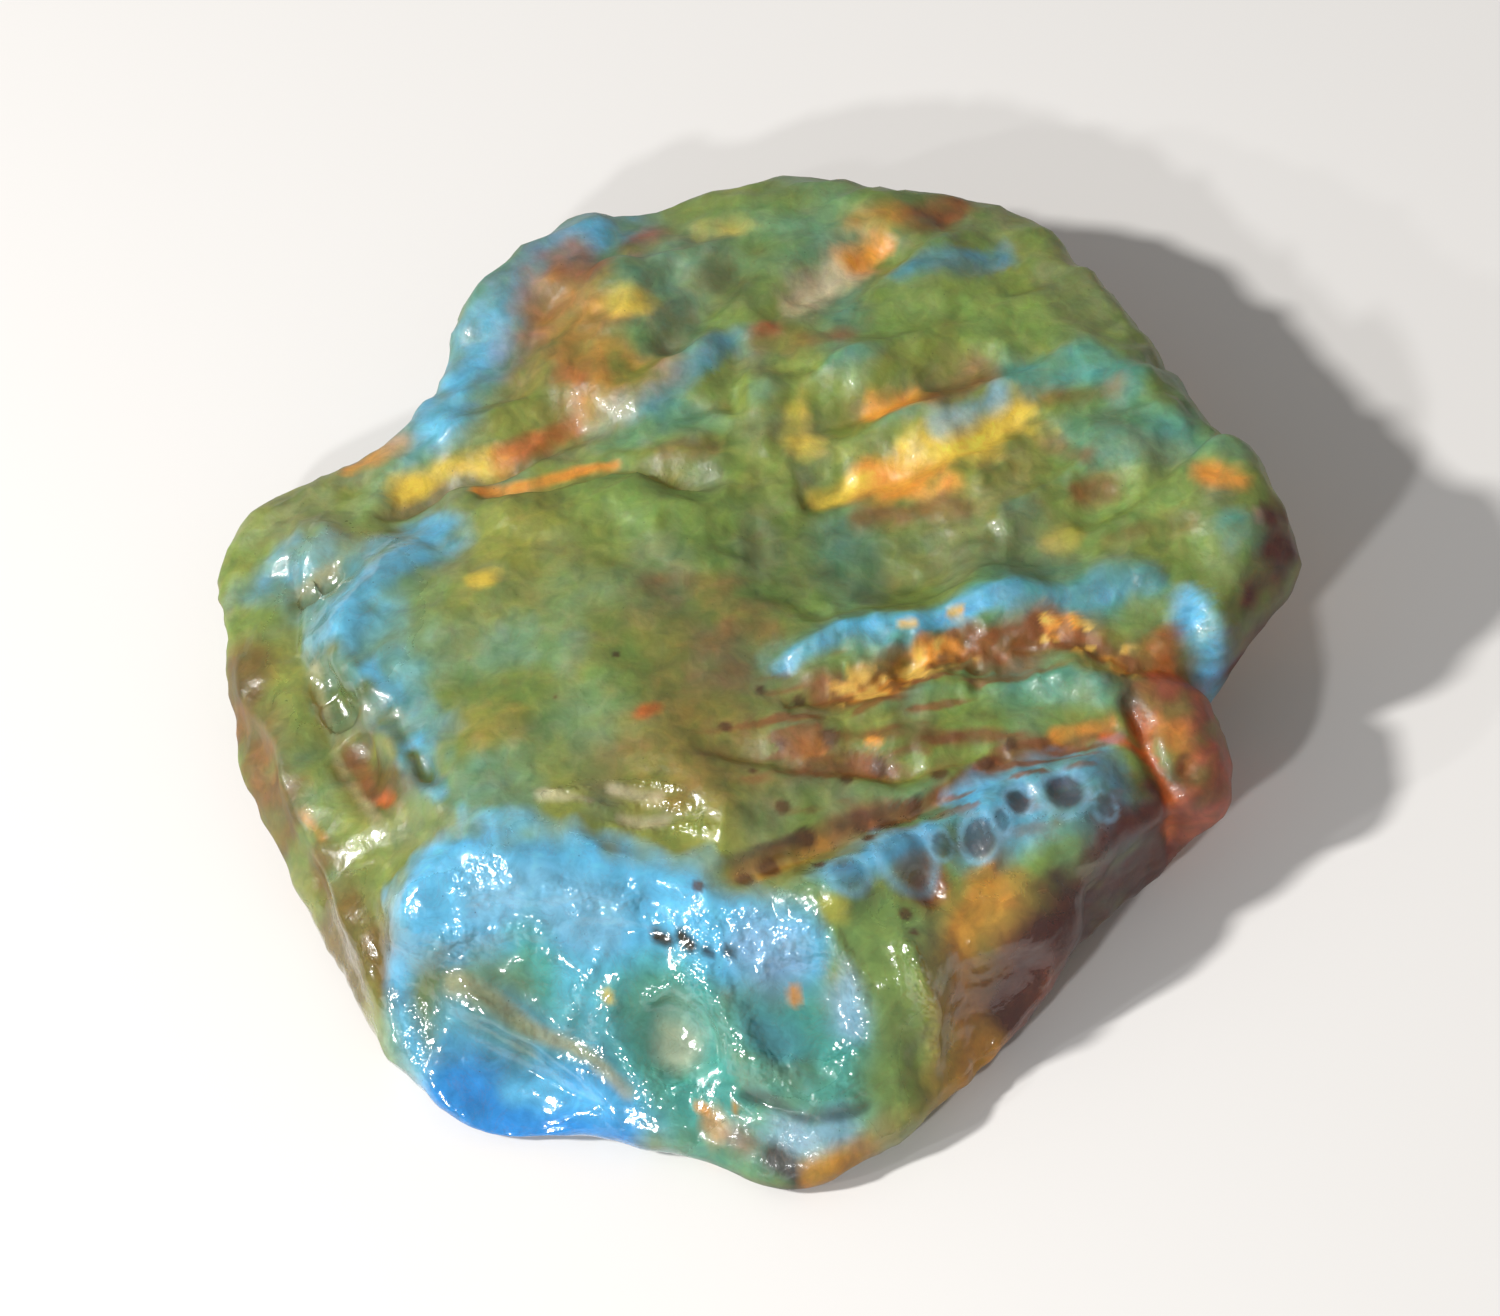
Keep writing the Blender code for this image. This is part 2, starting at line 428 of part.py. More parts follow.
def clear_scene():
    for thing in list(bpy.data.objects):
        bpy.data.objects.remove(thing, do_unlink=True)


def divided_cube():
    mesh = bmesh.new()
    bmesh.ops.create_cube(mesh, size=2.0)
    bmesh.ops.subdivide_edges(mesh, edges=mesh.edges[:], cuts=CUBE_CUTS, use_grid_fill=True)
    mesh.verts.index_update()
    return mesh


def sphere_directions(mesh):
    """The cube's points moved on to a sphere, with its squares kept nearly equal."""
    cube = np.array([vertex.co[:] for vertex in mesh.verts])
    bent = np.tan(cube * np.pi / 4.0)
    return bent / np.linalg.norm(bent, axis=1)[:, None]


def amber_material():
    material = bpy.data.materials.new("amber")
    material.use_nodes = True
    shader = material.node_tree.nodes["Principled BSDF"]
    shader.inputs["Base Color"].default_value = AMBER_COLOUR
    shader.inputs["Roughness"].default_value = AMBER_ROUGHNESS
    shader.inputs["Metallic"].default_value = 0.0
    material.diffuse_color = AMBER_COLOUR
    return material


def build_nugget(collection):
    mesh = divided_cube()
    edges = np.array([[end.index for end in edge.verts] for edge in mesh.edges])
    points = surface(sphere_directions(mesh), edges) * MM
    for vertex, point in zip(mesh.verts, points):
        vertex.co = point
    bmesh.ops.triangulate(mesh, faces=mesh.faces[:], quad_method="SHORT_EDGE")
    bmesh.ops.recalc_face_normals(mesh, faces=mesh.faces[:])
    data = bpy.data.meshes.new(PIECE)
    mesh.to_mesh(data)
    mesh.free()
    data.materials.append(amber_material())
    nugget = bpy.data.objects.new(PIECE, data)
    collection.objects.link(nugget)


def main():
    clear_scene()
    collection = bpy.data.collections.new(COLLECTION)
    bpy.context.scene.collection.children.link(collection)
    build_nugget(collection)


main()
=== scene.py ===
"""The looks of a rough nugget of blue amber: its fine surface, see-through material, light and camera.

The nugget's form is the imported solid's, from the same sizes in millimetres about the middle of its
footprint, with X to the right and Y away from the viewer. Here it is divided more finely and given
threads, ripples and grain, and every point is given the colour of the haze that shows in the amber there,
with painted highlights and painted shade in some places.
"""

import bmesh
import bpy
import numpy as np
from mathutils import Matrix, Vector


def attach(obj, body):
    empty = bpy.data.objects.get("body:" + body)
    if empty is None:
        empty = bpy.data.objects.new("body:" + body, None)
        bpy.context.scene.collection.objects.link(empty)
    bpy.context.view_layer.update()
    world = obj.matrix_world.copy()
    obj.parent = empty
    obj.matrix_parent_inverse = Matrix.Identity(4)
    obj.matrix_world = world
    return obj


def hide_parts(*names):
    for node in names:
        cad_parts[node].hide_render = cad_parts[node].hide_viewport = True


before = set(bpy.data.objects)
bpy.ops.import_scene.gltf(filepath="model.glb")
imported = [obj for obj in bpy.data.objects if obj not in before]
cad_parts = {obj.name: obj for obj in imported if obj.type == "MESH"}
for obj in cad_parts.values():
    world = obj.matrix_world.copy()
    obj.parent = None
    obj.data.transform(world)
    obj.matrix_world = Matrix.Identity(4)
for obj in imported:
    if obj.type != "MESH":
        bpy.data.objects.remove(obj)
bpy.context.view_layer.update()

MM = 0.001
NODE = "amber_nugget"
BODY = "root"
PIECE = "amber_surface"

# How finely the cube is divided along each side before it is wrapped.
CUBE_CUTS = 121

# Which side of the nugget has its points closer together, and by how much.
CROWDED_SIDE = (-0.10, -0.55, 0.83)
CROWDING = 0.40

# Where the nugget is widest: direction in degrees from +X, distance from the middle, height.
RIM = [
    (6, 20.0, 6.9), (13, 19.6, 7.6), (24, 19.4, 7.4), (34, 19.3, 7.0), (45, 20.1, 6.6), (54, 21.4, 6.2),
    (62, 22.4, 5.8), (68, 22.2, 5.5), (76, 21.7, 5.3), (85, 21.7, 5.2), (93, 21.3, 5.2), (102, 21.1, 5.2),
    (109, 21.0, 5.1), (116, 20.2, 5.0), (123, 18.6, 4.8), (130, 17.8, 4.6), (137, 16.9, 4.4),
    (142, 17.1, 4.3), (149, 17.6, 4.2), (155, 18.6, 4.0), (162, 20.5, 3.8), (168, 20.9, 3.6),
    (178, 20.3, 3.4), (186, 20.1, 3.2), (192, 20.1, 3.0), (200, 19.8, 2.8), (210, 19.8, 2.6),
    (220, 20.2, 2.3), (227, 20.9, 2.0), (233, 21.4, 1.8), (238, 21.8, 1.5), (243, 21.9, 1.4),
    (249, 21.0, 1.5), (254, 20.2, 1.4), (259, 20.3, 1.3), (265, 20.7, 1.2), (271, 21.6, 1.1),
    (276, 21.8, 1.2), (281, 21.0, 1.6), (287, 20.1, 2.3), (294, 19.5, 3.0), (303, 18.5, 3.5),
    (311, 17.9, 3.8), (322, 17.8, 4.1), (331, 18.1, 4.4), (338, 18.1, 4.6), (345, 17.6, 5.0),
    (351, 17.2, 5.2), (357, 18.9, 6.0),
]

# Where the sides turn over into the top.
UPPER = [
    (4, 19.2, 7.9), (13, 19.8, 8.6), (25, 19.1, 8.3), (35, 18.9, 7.7), (46, 19.3, 7.3), (54, 20.4, 6.9),
    (62, 21.2, 6.5), (76, 21.0, 6.2), (90, 20.8, 6.1), (101, 20.2, 6.0), (115, 19.6, 5.9), (123, 18.2, 5.6),
    (137, 16.2, 5.5), (149, 16.3, 5.3), (157, 16.4, 5.3), (166, 14.8, 5.9), (178, 14.6, 6.4),
    (187, 15.3, 6.5), (198, 14.2, 6.9), (211, 14.0, 7.4), (220, 14.6, 7.8), (227, 15.6, 7.9),
    (233, 14.3, 8.0), (243, 12.7, 8.1), (260, 12.0, 8.0), (274, 13.0, 7.7), (285, 14.3, 7.2),
    (293, 14.6, 6.9), (304, 14.2, 6.9), (319, 14.9, 7.0), (330, 15.7, 7.0), (342, 16.0, 6.9),
    (352, 16.4, 7.4),
]

# How far the nugget draws in between its widest level and the ground: direction, distance.
UNDERCUT = [
    (0, 3.6), (45, 3.0), (90, 2.6), (130, 1.8), (165, 2.0), (200, 1.5), (230, 0.7),
    (270, 0.4), (290, 1.0), (315, 2.0), (340, 2.6),
]

# Spot heights of the top.
TOP = [
    (-15.5, -1.0, 6.6), (-13.5, 2.6, 6.9), (-13.6, -4.6, 7.1), (-12.2, -8.0, 7.7), (-11.6, -11.0, 8.1),
    (-10.3, -0.2, 7.7), (-5.8, -0.6, 8.0), (-5.8, -5.1, 8.2), (-7.2, -7.9, 8.1), (-2.1, -2.8, 8.0),
    (-3.6, -8.6, 8.1), (-8.5, -11.0, 8.2), (-4.0, -11.8, 8.1), (0.8, -8.2, 7.9), (1.0, -5.5, 7.9),
    (-4.2, 3.2, 7.9), (-8.8, 3.0, 7.4), (-13.4, 6.2, 5.5), (-10.4, 6.8, 5.9), (-7.5, 8.0, 6.3),
    (-4.6, 8.0, 6.7), (-1.4, 6.6, 7.1), (-15.4, 7.6, 5.1), (-13.2, 9.6, 5.5), (-11.4, 12.8, 5.9),
    (-9.2, 14.8, 6.5), (-7.6, 12.0, 6.3), (-4.9, 14.4, 7.0), (-8.0, 17.6, 6.1), (-2.6, 12.3, 7.0),
    (-1.4, 10.6, 7.4), (-4.5, 10.2, 7.0), (-3.4, 17.8, 6.4), (1.2, 13.7, 7.1), (1.0, 18.8, 6.3),
    (4.7, 16.6, 7.1), (8.4, 18.4, 6.6), (1.6, 8.0, 7.5), (5.7, 9.2, 7.7), (8.8, 10.4, 7.8), (2.6, 4.3, 7.4),
    (6.8, 5.9, 7.9), (10.4, 7.8, 8.0), (7.0, 13.8, 7.4), (11.2, 13.0, 7.4), (11.2, 3.4, 8.1),
    (14.6, 6.0, 8.5), (17.6, 3.4, 8.9), (16.2, 8.8, 8.2), (13.2, 11.4, 7.8), (1.4, 0.6, 7.5),
    (5.4, 1.1, 7.6), (10.0, 1.4, 8.0), (14.0, 2.2, 8.6), (3.4, -1.9, 8.1), (8.8, -0.7, 8.6),
    (14.5, 0.4, 8.9), (4.6, -3.9, 7.7), (10.7, -2.7, 7.8), (14.4, -2.4, 7.6), (5.0, -6.4, 7.6),
    (10.0, -5.0, 7.5), (3.0, -10.4, 7.5), (8.2, -8.4, 7.3), (12.6, -6.6, 7.2), (1.6, -12.6, 7.5),
    (5.4, -13.2, 6.8),
]
TOP_REACH = 1.2

# Spot heights of the underside: below zero it is cut off flat by the ground.
UNDERSIDE = [
    (0, 0, -0.6), (8, 2, -0.5), (-8, -2, -0.5), (0, 9, -0.3), (2, -9, -0.4), (-8, 8, 0.1), (9, -8, 0.2),
    (15, 4, 0.9), (12, 12, 0.8), (3, 17, 0.9), (-6, 16, 0.6), (-14, 6, 0.7), (-17, 0, 0.7), (-15, -8, 0.3),
    (-9, -15, 0.1), (0, -18, -0.1), (6, -15, 0.4), (13, -6, 1.0),
]
UNDERSIDE_REACH = 3.0

# Swellings fused into the form: middle, half sizes.
SWELLINGS = [
    ((15.4, -6.0, 4.6), (1.7, 2.5, 2.1)),
    ((16.5, -0.9, 7.0), (1.2, 1.4, 1.5)),
    ((17.6, 2.6, 7.3), (1.9, 2.2, 1.5)),
    ((11.0, -8.4, 5.8), (2.6, 1.8, 1.7)),
    ((8.4, -12.2, 4.0), (2.6, 2.4, 1.9)),
    ((-10.4, -11.8, 5.3), (2.8, 2.2, 2.2)),
    ((2.2, 19.0, 4.0), (3.6, 2.4, 2.0)),
    ((12.6, 12.6, 4.0), (2.6, 2.8, 2.2)),
    ((-9.0, 14.4, 4.4), (2.2, 2.2, 1.6)),
]
SWELLING_BLEND = 1.2

# Chipped hollows: a point on the surface, the way the hollow faces, its radius of curvature, its depth.
HOLLOWS = [
    ((-8.4, -17.0, 3.1), (-0.15, -0.68, 0.72), 7.0, 0.85),
    ((-3.2, -16.6, 3.8), (0.00, -0.70, 0.71), 3.2, 0.35),
    ((1.5, -16.3, 4.6), (0.05, -0.68, 0.73), 4.2, 0.30),
    ((-4.6, -13.4, 6.4), (0.00, -0.72, 0.69), 4.6, 0.40),
    ((-8.4, -13.6, 6.6), (-0.10, -0.72, 0.69), 4.0, 0.30),
    ((-4.6, -9.9, 8.1), (0.05, -0.10, 0.99), 6.0, 0.50),
    ((3.6, 3.0, 7.6), (-0.08, -0.05, 0.99), 9.0, 0.75),
    ((-18.6, -2.6, 4.4), (-0.80, -0.10, 0.59), 7.0, 0.50),
    ((-16.5, -9.4, 4.0), (-0.86, -0.20, 0.47), 9.0, 0.55),
    ((-14.8, -13.4, 3.6), (-0.88, -0.35, 0.32), 7.0, 0.50),
    ((-16.9, 1.9, 5.3), (-0.40, 0.00, 0.92), 0.9, 0.35),
    ((-16.2, 2.3, 5.5), (-0.40, 0.00, 0.92), 0.9, 0.35),
    ((-15.9, -2.7, 5.9), (-0.55, -0.10, 0.83), 1.5, 0.40),
    ((-15.4, -3.7, 5.9), (-0.55, -0.20, 0.81), 1.5, 0.40),
    ((-14.6, -6.2, 5.8), (-0.70, -0.20, 0.69), 2.0, 0.45),
    ((-14.1, -7.1, 5.9), (-0.70, -0.20, 0.69), 2.1, 0.50),
    ((-13.7, -7.9, 6.0), (-0.70, -0.20, 0.69), 1.6, 0.40),
    ((-13.8, -4.6, 6.4), (-0.40, -0.10, 0.91), 1.3, 0.30),
    ((-12.2, -7.4, 7.0), (-0.45, -0.10, 0.89), 1.0, 0.30),
    ((6.8, -16.4, 3.6), (0.60, -0.62, 0.50), 6.0, 0.50),
    ((13.4, -10.6, 3.0), (0.76, -0.60, 0.25), 6.5, 0.55),
    ((18.6, 8.2, 4.4), (0.88, 0.40, -0.20), 9.0, 0.80),
    ((13.6, 16.4, 4.6), (0.66, 0.74, -0.05), 8.0, 0.70),
    ((5.6, 20.6, 3.8), (0.20, 0.97, -0.10), 9.0, 0.75),
    ((-4.6, 19.8, 3.6), (-0.22, 0.97, -0.10), 7.0, 0.60),
    ((-12.8, 10.8, 3.4), (-0.76, 0.64, -0.10), 6.0, 0.55),
    ((17.4, -1.6, 3.2), (0.95, -0.10, -0.30), 6.0, 0.60),
    ((-18.7, -0.6, 1.4), (-0.80, 0.10, -0.59), 8.0, 0.35),
    ((11.0, 7.0, 0.3), (0.30, 0.20, -0.93), 11.0, 0.80),
    ((-11.5, 3.0, 0.2), (-0.25, 0.10, -0.96), 10.0, 0.60),
    ((-3.0, 12.5, 0.2), (-0.10, 0.30, -0.95), 9.0, 0.60),
    ((8.5, -10.0, 0.2), (0.30, -0.30, -0.90), 8.0, 0.55),
]
HOLLOW_SOFTNESS = 0.06

# Ridges (raised) and grooves (sunk) of the upper side: half width, height, how much wider the slope on the
# left of the line is than the one on its right, and the line it follows seen from above.
STROKES = [
    # The crest above the left flank, and the cuts along it.
    (1.5, 0.40, -0.3, [(-12.2, 3.3), (-14.8, 0.5), (-15.3, -1.8), (-13.5, -4.4), (-12.3, -7.4),
                       (-11.5, -9.5)]),
    (0.9, -0.35, 0.4, [(-17.4, 1.7), (-16.6, 2.1), (-15.6, 2.6)]),
    (0.9, -0.40, -0.4, [(-16.1, -1.8), (-15.7, -3.2), (-15.0, -4.4)]),
    (1.0, -0.35, -0.4, [(-14.9, -5.2), (-14.1, -7.0), (-13.4, -8.6)]),
    (0.9, -0.55, 0.2, [(-13.4, -4.6), (-12.4, -6.8), (-11.8, -8.4)]),
    # The crease between the smooth top and the block at the back left, and the thin one beside it.
    (1.5, -0.95, 0.5, [(-14.6, 5.4), (-10.5, 6.7), (-7.5, 8.1), (-4.6, 8.6)]),
    (0.8, -0.45, 0.3, [(-10.8, 5.3), (-8.2, 5.4), (-5.6, 6.1), (-0.9, 5.3)]),
    # The step down from the smooth top into the valley on its right.
    (2.0, -0.35, 0.0, [(-0.9, 6.3), (-0.2, 3.6), (0.6, 1.3), (2.2, 0.4), (5.3, 0.7), (10.8, 1.2),
                       (13.4, 2.0)]),
    # The blue ridge, and the pitted crust below it.
    (1.3, 0.55, 0.3, [(0.0, -3.4), (3.4, -2.0), (7.4, -1.1), (10.8, -0.5), (14.5, 0.2)]),
    (1.3, -0.80, -0.3, [(0.9, -5.3), (4.5, -3.8), (7.0, -2.8), (10.7, -2.4), (13.3, -2.6)]),
    (0.9, 0.35, 0.0, [(3.0, -5.7), (7.2, -4.5), (11.2, -4.0), (13.8, -4.2)]),
    # The long brown groove and a shorter one behind it.
    (1.1, -0.60, -0.2, [(-1.8, -12.6), (1.5, -11.6), (4.4, -9.7), (7.3, -9.0), (9.1, -7.3), (11.0, -6.6),
                        (13.4, -6.0)]),
    (1.0, -0.45, 0.2, [(-2.6, -7.0), (1.5, -7.7), (5.1, -7.9), (9.2, -6.9)]),
    (0.9, 0.18, 0.0, [(0.2, -6.4), (4.6, -6.7), (8.8, -5.6)]),
    # The roll with the blue crest along the right of the front.
    (1.6, 0.45, -0.2, [(0.6, -13.6), (3.7, -11.9), (6.9, -10.2), (10.2, -8.4), (13.0, -7.4)]),
    # The clefts beside the lobe on the right.
    (0.9, -0.85, 0.0, [(13.0, -2.9), (15.3, -3.2), (17.6, -3.1)]),
    (0.8, -0.65, 0.0, [(13.4, -4.4), (14.0, -5.4), (14.2, -6.7), (15.0, -7.9), (15.6, -9.0)]),
    # The front edge of the top.
    (1.4, 0.35, -0.2, [(-11.6, -11.8), (-8.6, -11.9), (-5.7, -12.0), (-2.1, -12.6), (0.4, -13.8)]),
    # The corner between the left flank and the front face.
    (1.1, 0.50, 0.0, [(-11.4, -11.6), (-13.2, -14.6), (-13.2, -17.4)]),
    # The slanting edge across the hollow at the left of the front, and the one between the hollows.
    (0.7, 0.35, 0.4, [(-11.6, -15.0), (-8.4, -16.2), (-5.4, -18.6)]),
    (0.8, 0.20, 0.0, [(-4.6, -14.6), (-5.4, -16.2), (-5.8, -17.6)]),
    (0.9, 0.22, 0.0, [(-1.8, -14.6), (-1.0, -16.4), (0.4, -18.4)]),
    # Wrinkles of the right of the front.
    (1.1, 0.55, 0.3, [(5.0, -14.0), (6.0, -16.0), (6.5, -18.0)]),
    (0.8, -0.35, 0.0, [(7.0, -13.6), (7.8, -15.8), (8.0, -17.4)]),
    (1.0, -0.40, 0.0, [(8.6, -11.2), (11.0, -11.4), (12.8, -11.0)]),
    # The steps of the left flank.
    (1.3, 0.50, 0.5, [(-19.6, 0.6), (-18.7, -1.9), (-16.9, -5.9), (-15.7, -9.4), (-14.2, -13.3),
                      (-13.4, -16.6)]),
    (1.0, -0.35, -0.3, [(-17.6, 3.4), (-17.4, -0.6), (-15.6, -6.2)]),
    # The blue rim, the hollow and the steps of the block at the back left.
    (1.6, 0.60, 0.4, [(-13.0, 9.8), (-12.0, 12.0), (-10.6, 14.6), (-8.6, 17.2), (-5.6, 19.0)]),
    (2.0, -0.70, 0.2, [(-9.4, 9.8), (-8.8, 12.4), (-7.8, 15.4)]),
    (1.1, -0.55, 0.2, [(-5.4, 10.0), (-3.6, 12.0), (-2.0, 13.8), (-0.4, 16.0)]),
    (1.2, 0.45, -0.3, [(-6.2, 9.0), (-4.0, 10.6), (-2.4, 11.8), (-1.2, 12.6)]),
    (1.2, 0.45, 0.3, [(-5.6, 13.2), (-4.6, 14.8), (-2.6, 17.6)]),
    (1.1, -0.50, 0.4, [(-3.8, 8.4), (-0.9, 8.9), (-0.4, 12.4)]),
    # The slanting ridges and grooves of the block at the back right.
    (1.5, -0.50, 0.4, [(0.2, 12.8), (2.6, 14.8), (5.2, 17.4)]),
    (1.3, 0.35, -0.4, [(2.4, 12.6), (5.0, 15.0), (8.2, 17.8)]),
    (1.5, -0.50, 0.4, [(0.6, 7.2), (3.6, 8.4), (6.0, 9.4), (9.4, 10.8)]),
    (1.2, 0.35, -0.4, [(1.4, 9.4), (4.6, 11.0), (8.4, 12.8)]),
    (1.6, -0.60, 0.4, [(1.4, 4.4), (4.8, 5.2), (7.6, 6.4), (11.0, 8.0)]),
    (1.3, 0.35, -0.4, [(3.0, 6.8), (6.4, 8.2), (9.6, 9.6), (12.8, 11.2)]),
    (1.3, 0.35, -0.4, [(8.4, 3.0), (12.2, 5.2), (15.6, 8.4)]),
    (1.2, -0.35, 0.3, [(9.0, 13.6), (11.6, 15.4), (13.0, 17.6)]),
    (1.2, -0.35, 0.3, [(11.6, 2.6), (14.6, 4.2), (17.2, 6.8)]),
    (1.2, -0.30, 0.3, [(5.4, 12.6), (8.4, 14.4), (11.0, 17.6)]),
    (1.2, -0.30, 0.3, [(12.2, 8.0), (14.4, 10.2), (16.4, 11.4)]),
]
STROKE_ENDS = 0.18

# Fine threads and ripples: half width, height, and the line seen from above.
THREADS = [
    # The rim of the round hollow at the right of the front, and the arc below it.
    (0.85, 0.32, [(-2.5, -14.7), (-1.9, -15.5), (-1.3, -16.0), (-0.8, -16.8), (-0.5, -17.8),
                  (0.4, -18.3), (1.4, -18.5)]),
    (0.55, 0.24, [(0.2, -14.6), (1.5, -14.2), (2.6, -14.4), (3.3, -15.2), (3.7, -16.4), (3.9, -17.1)]),
    (0.55, 0.24, [(2.3, -18.1), (3.1, -17.8), (3.9, -17.6)]),
    (0.40, -0.18, [(-0.8, -18.7), (0.4, -19.3), (2.2, -19.7), (4.0, -19.4)]),
    # The thread down the middle of the front, and those round the eye beside it.
    (0.35, 0.18, [(-5.4, -13.8), (-6.0, -15.0), (-6.6, -15.8), (-7.1, -16.4)]),
    (0.35, 0.16, [(-5.2, -15.8), (-5.3, -16.6), (-4.7, -17.4), (-4.2, -18.2)]),
    (0.45, 0.20, [(-4.2, -18.3), (-3.4, -18.6), (-2.5, -18.2), (-2.1, -17.4)]),
    (0.35, 0.12, [(-4.2, -15.8), (-3.0, -15.4), (-2.2, -16.0), (-2.0, -16.8)]),
    # The slanting edge across the hollow at the left of the front, and the rows above it.
    (0.50, 0.14, [(-11.0, -14.7), (-8.7, -16.1), (-6.8, -16.8), (-4.7, -18.3)]),
    (0.45, 0.20, [(-12.0, -14.2), (-10.4, -13.9), (-8.6, -13.7), (-7.2, -13.9)]),
    (0.40, 0.16, [(-7.8, -12.9), (-6.4, -12.6), (-5.3, -12.7), (-4.2, -12.8)]),
    (0.40, 0.14, [(-6.8, -13.4), (-5.0, -13.1), (-3.4, -13.5)]),
    (0.45, 0.16, [(-11.1, -13.1), (-10.4, -12.7), (-9.4, -12.7), (-8.6, -12.3)]),
    (0.35, 0.14, [(-1.8, -13.6), (-1.2, -14.4), (-0.6, -15.2)]),
    (0.35, 0.14, [(-0.2, -13.8), (0.2, -14.6), (0.2, -15.6)]),
    (0.40, -0.16, [(-11.2, -16.2), (-9.4, -16.7), (-7.2, -17.8), (-5.4, -18.9)]),
    # Ripples of the smooth top, just behind its front edge.
    (0.40, 0.20, [(-6.8, -9.5), (-5.4, -9.8), (-3.9, -9.3), (-2.3, -9.7)]),
    (0.40, 0.20, [(-5.9, -10.4), (-4.3, -10.6), (-2.8, -10.3), (-1.2, -10.8)]),
    (0.35, 0.16, [(-8.4, -9.3), (-7.2, -9.1), (-5.7, -9.0)]),
    (0.35, 0.16, [(-5.2, -8.8), (-3.9, -8.6), (-2.6, -9.0)]),
    # The wrinkle with glints at the right of the front.
    (0.45, 0.25, [(5.2, -14.4), (5.7, -15.6), (6.1, -16.6), (6.5, -17.4)]),
]

# How far the lines wander: wave lengths along X and Y, a phase, and the distance.
WANDERINGS = [(5.4, 8.6, 0.7, 0.10), (-4.2, 6.4, 2.2, 0.10)]

# Round pits (sunk) and bubbles (raised) of the upper side: middle seen from above, radius, height.
SPOTS = [
    (16.0, -2.0, 1.1, -0.70), (2.9, -12.9, 1.0, 0.15), (5.1, -11.9, 1.3, 0.22), (7.6, -10.6, 1.0, -0.35),
    (9.4, -9.0, 1.0, -0.35), (11.1, -8.4, 1.2, -0.40), (6.0, -12.5, 0.8, -0.45), (10.3, -11.4, 1.3, 0.30),
    (15.8, -7.0, 0.7, -0.40),
    (5.4, -3.2, 1.0, -0.40), (10.2, -3.2, 1.1, -0.35), (-3.2, 12.0, 1.2, -0.40), (-17.9, 3.6, 0.7, 0.25),
    (-16.2, 4.3, 0.6, 0.22), (-14.2, 6.2, 0.7, 0.28),
    (-5.4, 15.4, 1.5, 0.45), (0.2, 9.4, 1.6, 0.45), (6.2, 14.6, 2.2, 0.40), (14.0, 9.6, 1.8, 0.35),
    (17.6, 5.4, 1.6, 0.35), (-16.6, 3.8, 1.5, 0.35), (-2.0, 16.0, 1.6, 0.35), (-11.4, 9.2, 1.4, 0.35),
]

# Soft unevenness everywhere: wave lengths along X, Y and Z, a phase, and the height.
WAVES = [
    (9.0, 13.0, 8.0, 0.4, 0.12), (-11.0, 7.5, 9.0, 1.9, 0.10), (6.0, -8.0, 5.0, 3.1, 0.08),
    (4.6, 5.2, -4.4, 0.9, 0.06),
]

# Edges between side and top, between the two halves of the side, and between side and underside.
TOP_EDGE = 1.8
RIM_EDGE = 1.0
FOOT_EDGE = 1.2

# The height of the middle of the top, for laying the cube's points out, and the steps that settle them.
MIDDLE_HEIGHT = 8.0
SETTLING_STEPS = 5

# How often the points are evened out over the form, and how far each time.
EVENING_ROUNDS = 4
EVENING_SHARE = 0.6

# The step over which a slope is measured, and the least slope and the least run that anything is divided by.
SLOPE_STEP = 0.05
LEAST_SLOPE = 0.2
LEAST_RUN = 0.001

# How much higher or lower than its size a ridge is from place to place: the mean, the change, and the
# length over which it changes.
BROKEN_MEAN = 0.85
BROKEN_CHANGE = 0.45
BROKEN_LENGTH = 2.6

# The height below which a point lies on the ground.
GROUND_SNAP = 0.02

# The fine relief of the back and of the front: share, the way it is drawn out, its lumps along and across,
# and the number of its noise.
SLANTING = [(1.0, (0.9, 0.44), (5.0, 1.5), 21), (0.5, (0.8, 0.6), (2.6, 0.8), 22)]
WRINKLED = [(1.0, (1.0, -0.25), (2.4, 1.1), 23), (0.5, (0.3, 1.0), (1.1, 0.6), 24)]

# The fine relief of the crust, of the broken faces and of everything: share, lumps, number of its noise.
PITTED = [(1.0, 0.9, 25), (0.6, 0.5, 26)]
CHIPPED = [(1.0, 2.6, 27), (0.5, 1.1, 28)]
ROUGH = [(0.05, 0.8, 29)]

# How high each kind stands, and how much of it the smooth top is spared.
CHIPPED_HEIGHT = 0.13
SLANTING_HEIGHT = 0.17
WRINKLED_HEIGHT = 0.04
PITTED_HEIGHT = 0.16
SMOOTH_SPARED = 0.8


def ramp(value, start, run):
    """Nothing up to the start, one from the end of the run on, and even in between."""
    return np.clip((value - start) / run, 0.0, 1.0)


def inside(off, fade):
    """One well inside a patch, falling to nothing at its edge, where off is one."""
    return np.clip(fade * (1.0 - off), 0.0, 1.0)


def smooth_max(first, second, width):
    share = np.clip(0.5 + 0.5 * (first - second) / width, 0.0, 1.0)
    return second * (1.0 - share) + first * share + width * share * (1.0 - share)


def smooth_min(first, second, width):
    return -smooth_max(-first, -second, width)


def around(table, column, angle):
    """A column of a table by direction, joined up smoothly all the way round."""
    rows = np.array(table, float)
    turn = 360.0 * (np.arange(rows.shape[1]) == 0)
    rows = np.vstack([rows[-2:] - turn, rows, rows[:2] + turn])
    knots, values = rows[:, 0], rows[:, column]
    slopes = np.gradient(values, knots)
    i = np.clip(np.searchsorted(knots, angle, side="right") - 1, 0, len(knots) - 2)
    span = knots[i + 1] - knots[i]
    t = (angle - knots[i]) / span
    rise = slopes[i] * span * t * (1 - t) ** 2 + slopes[i + 1] * span * t * t * (t - 1)
    return values[i] * (1 + 2 * t) * (1 - t) ** 2 + values[i + 1] * t * t * (3 - 2 * t) + rise


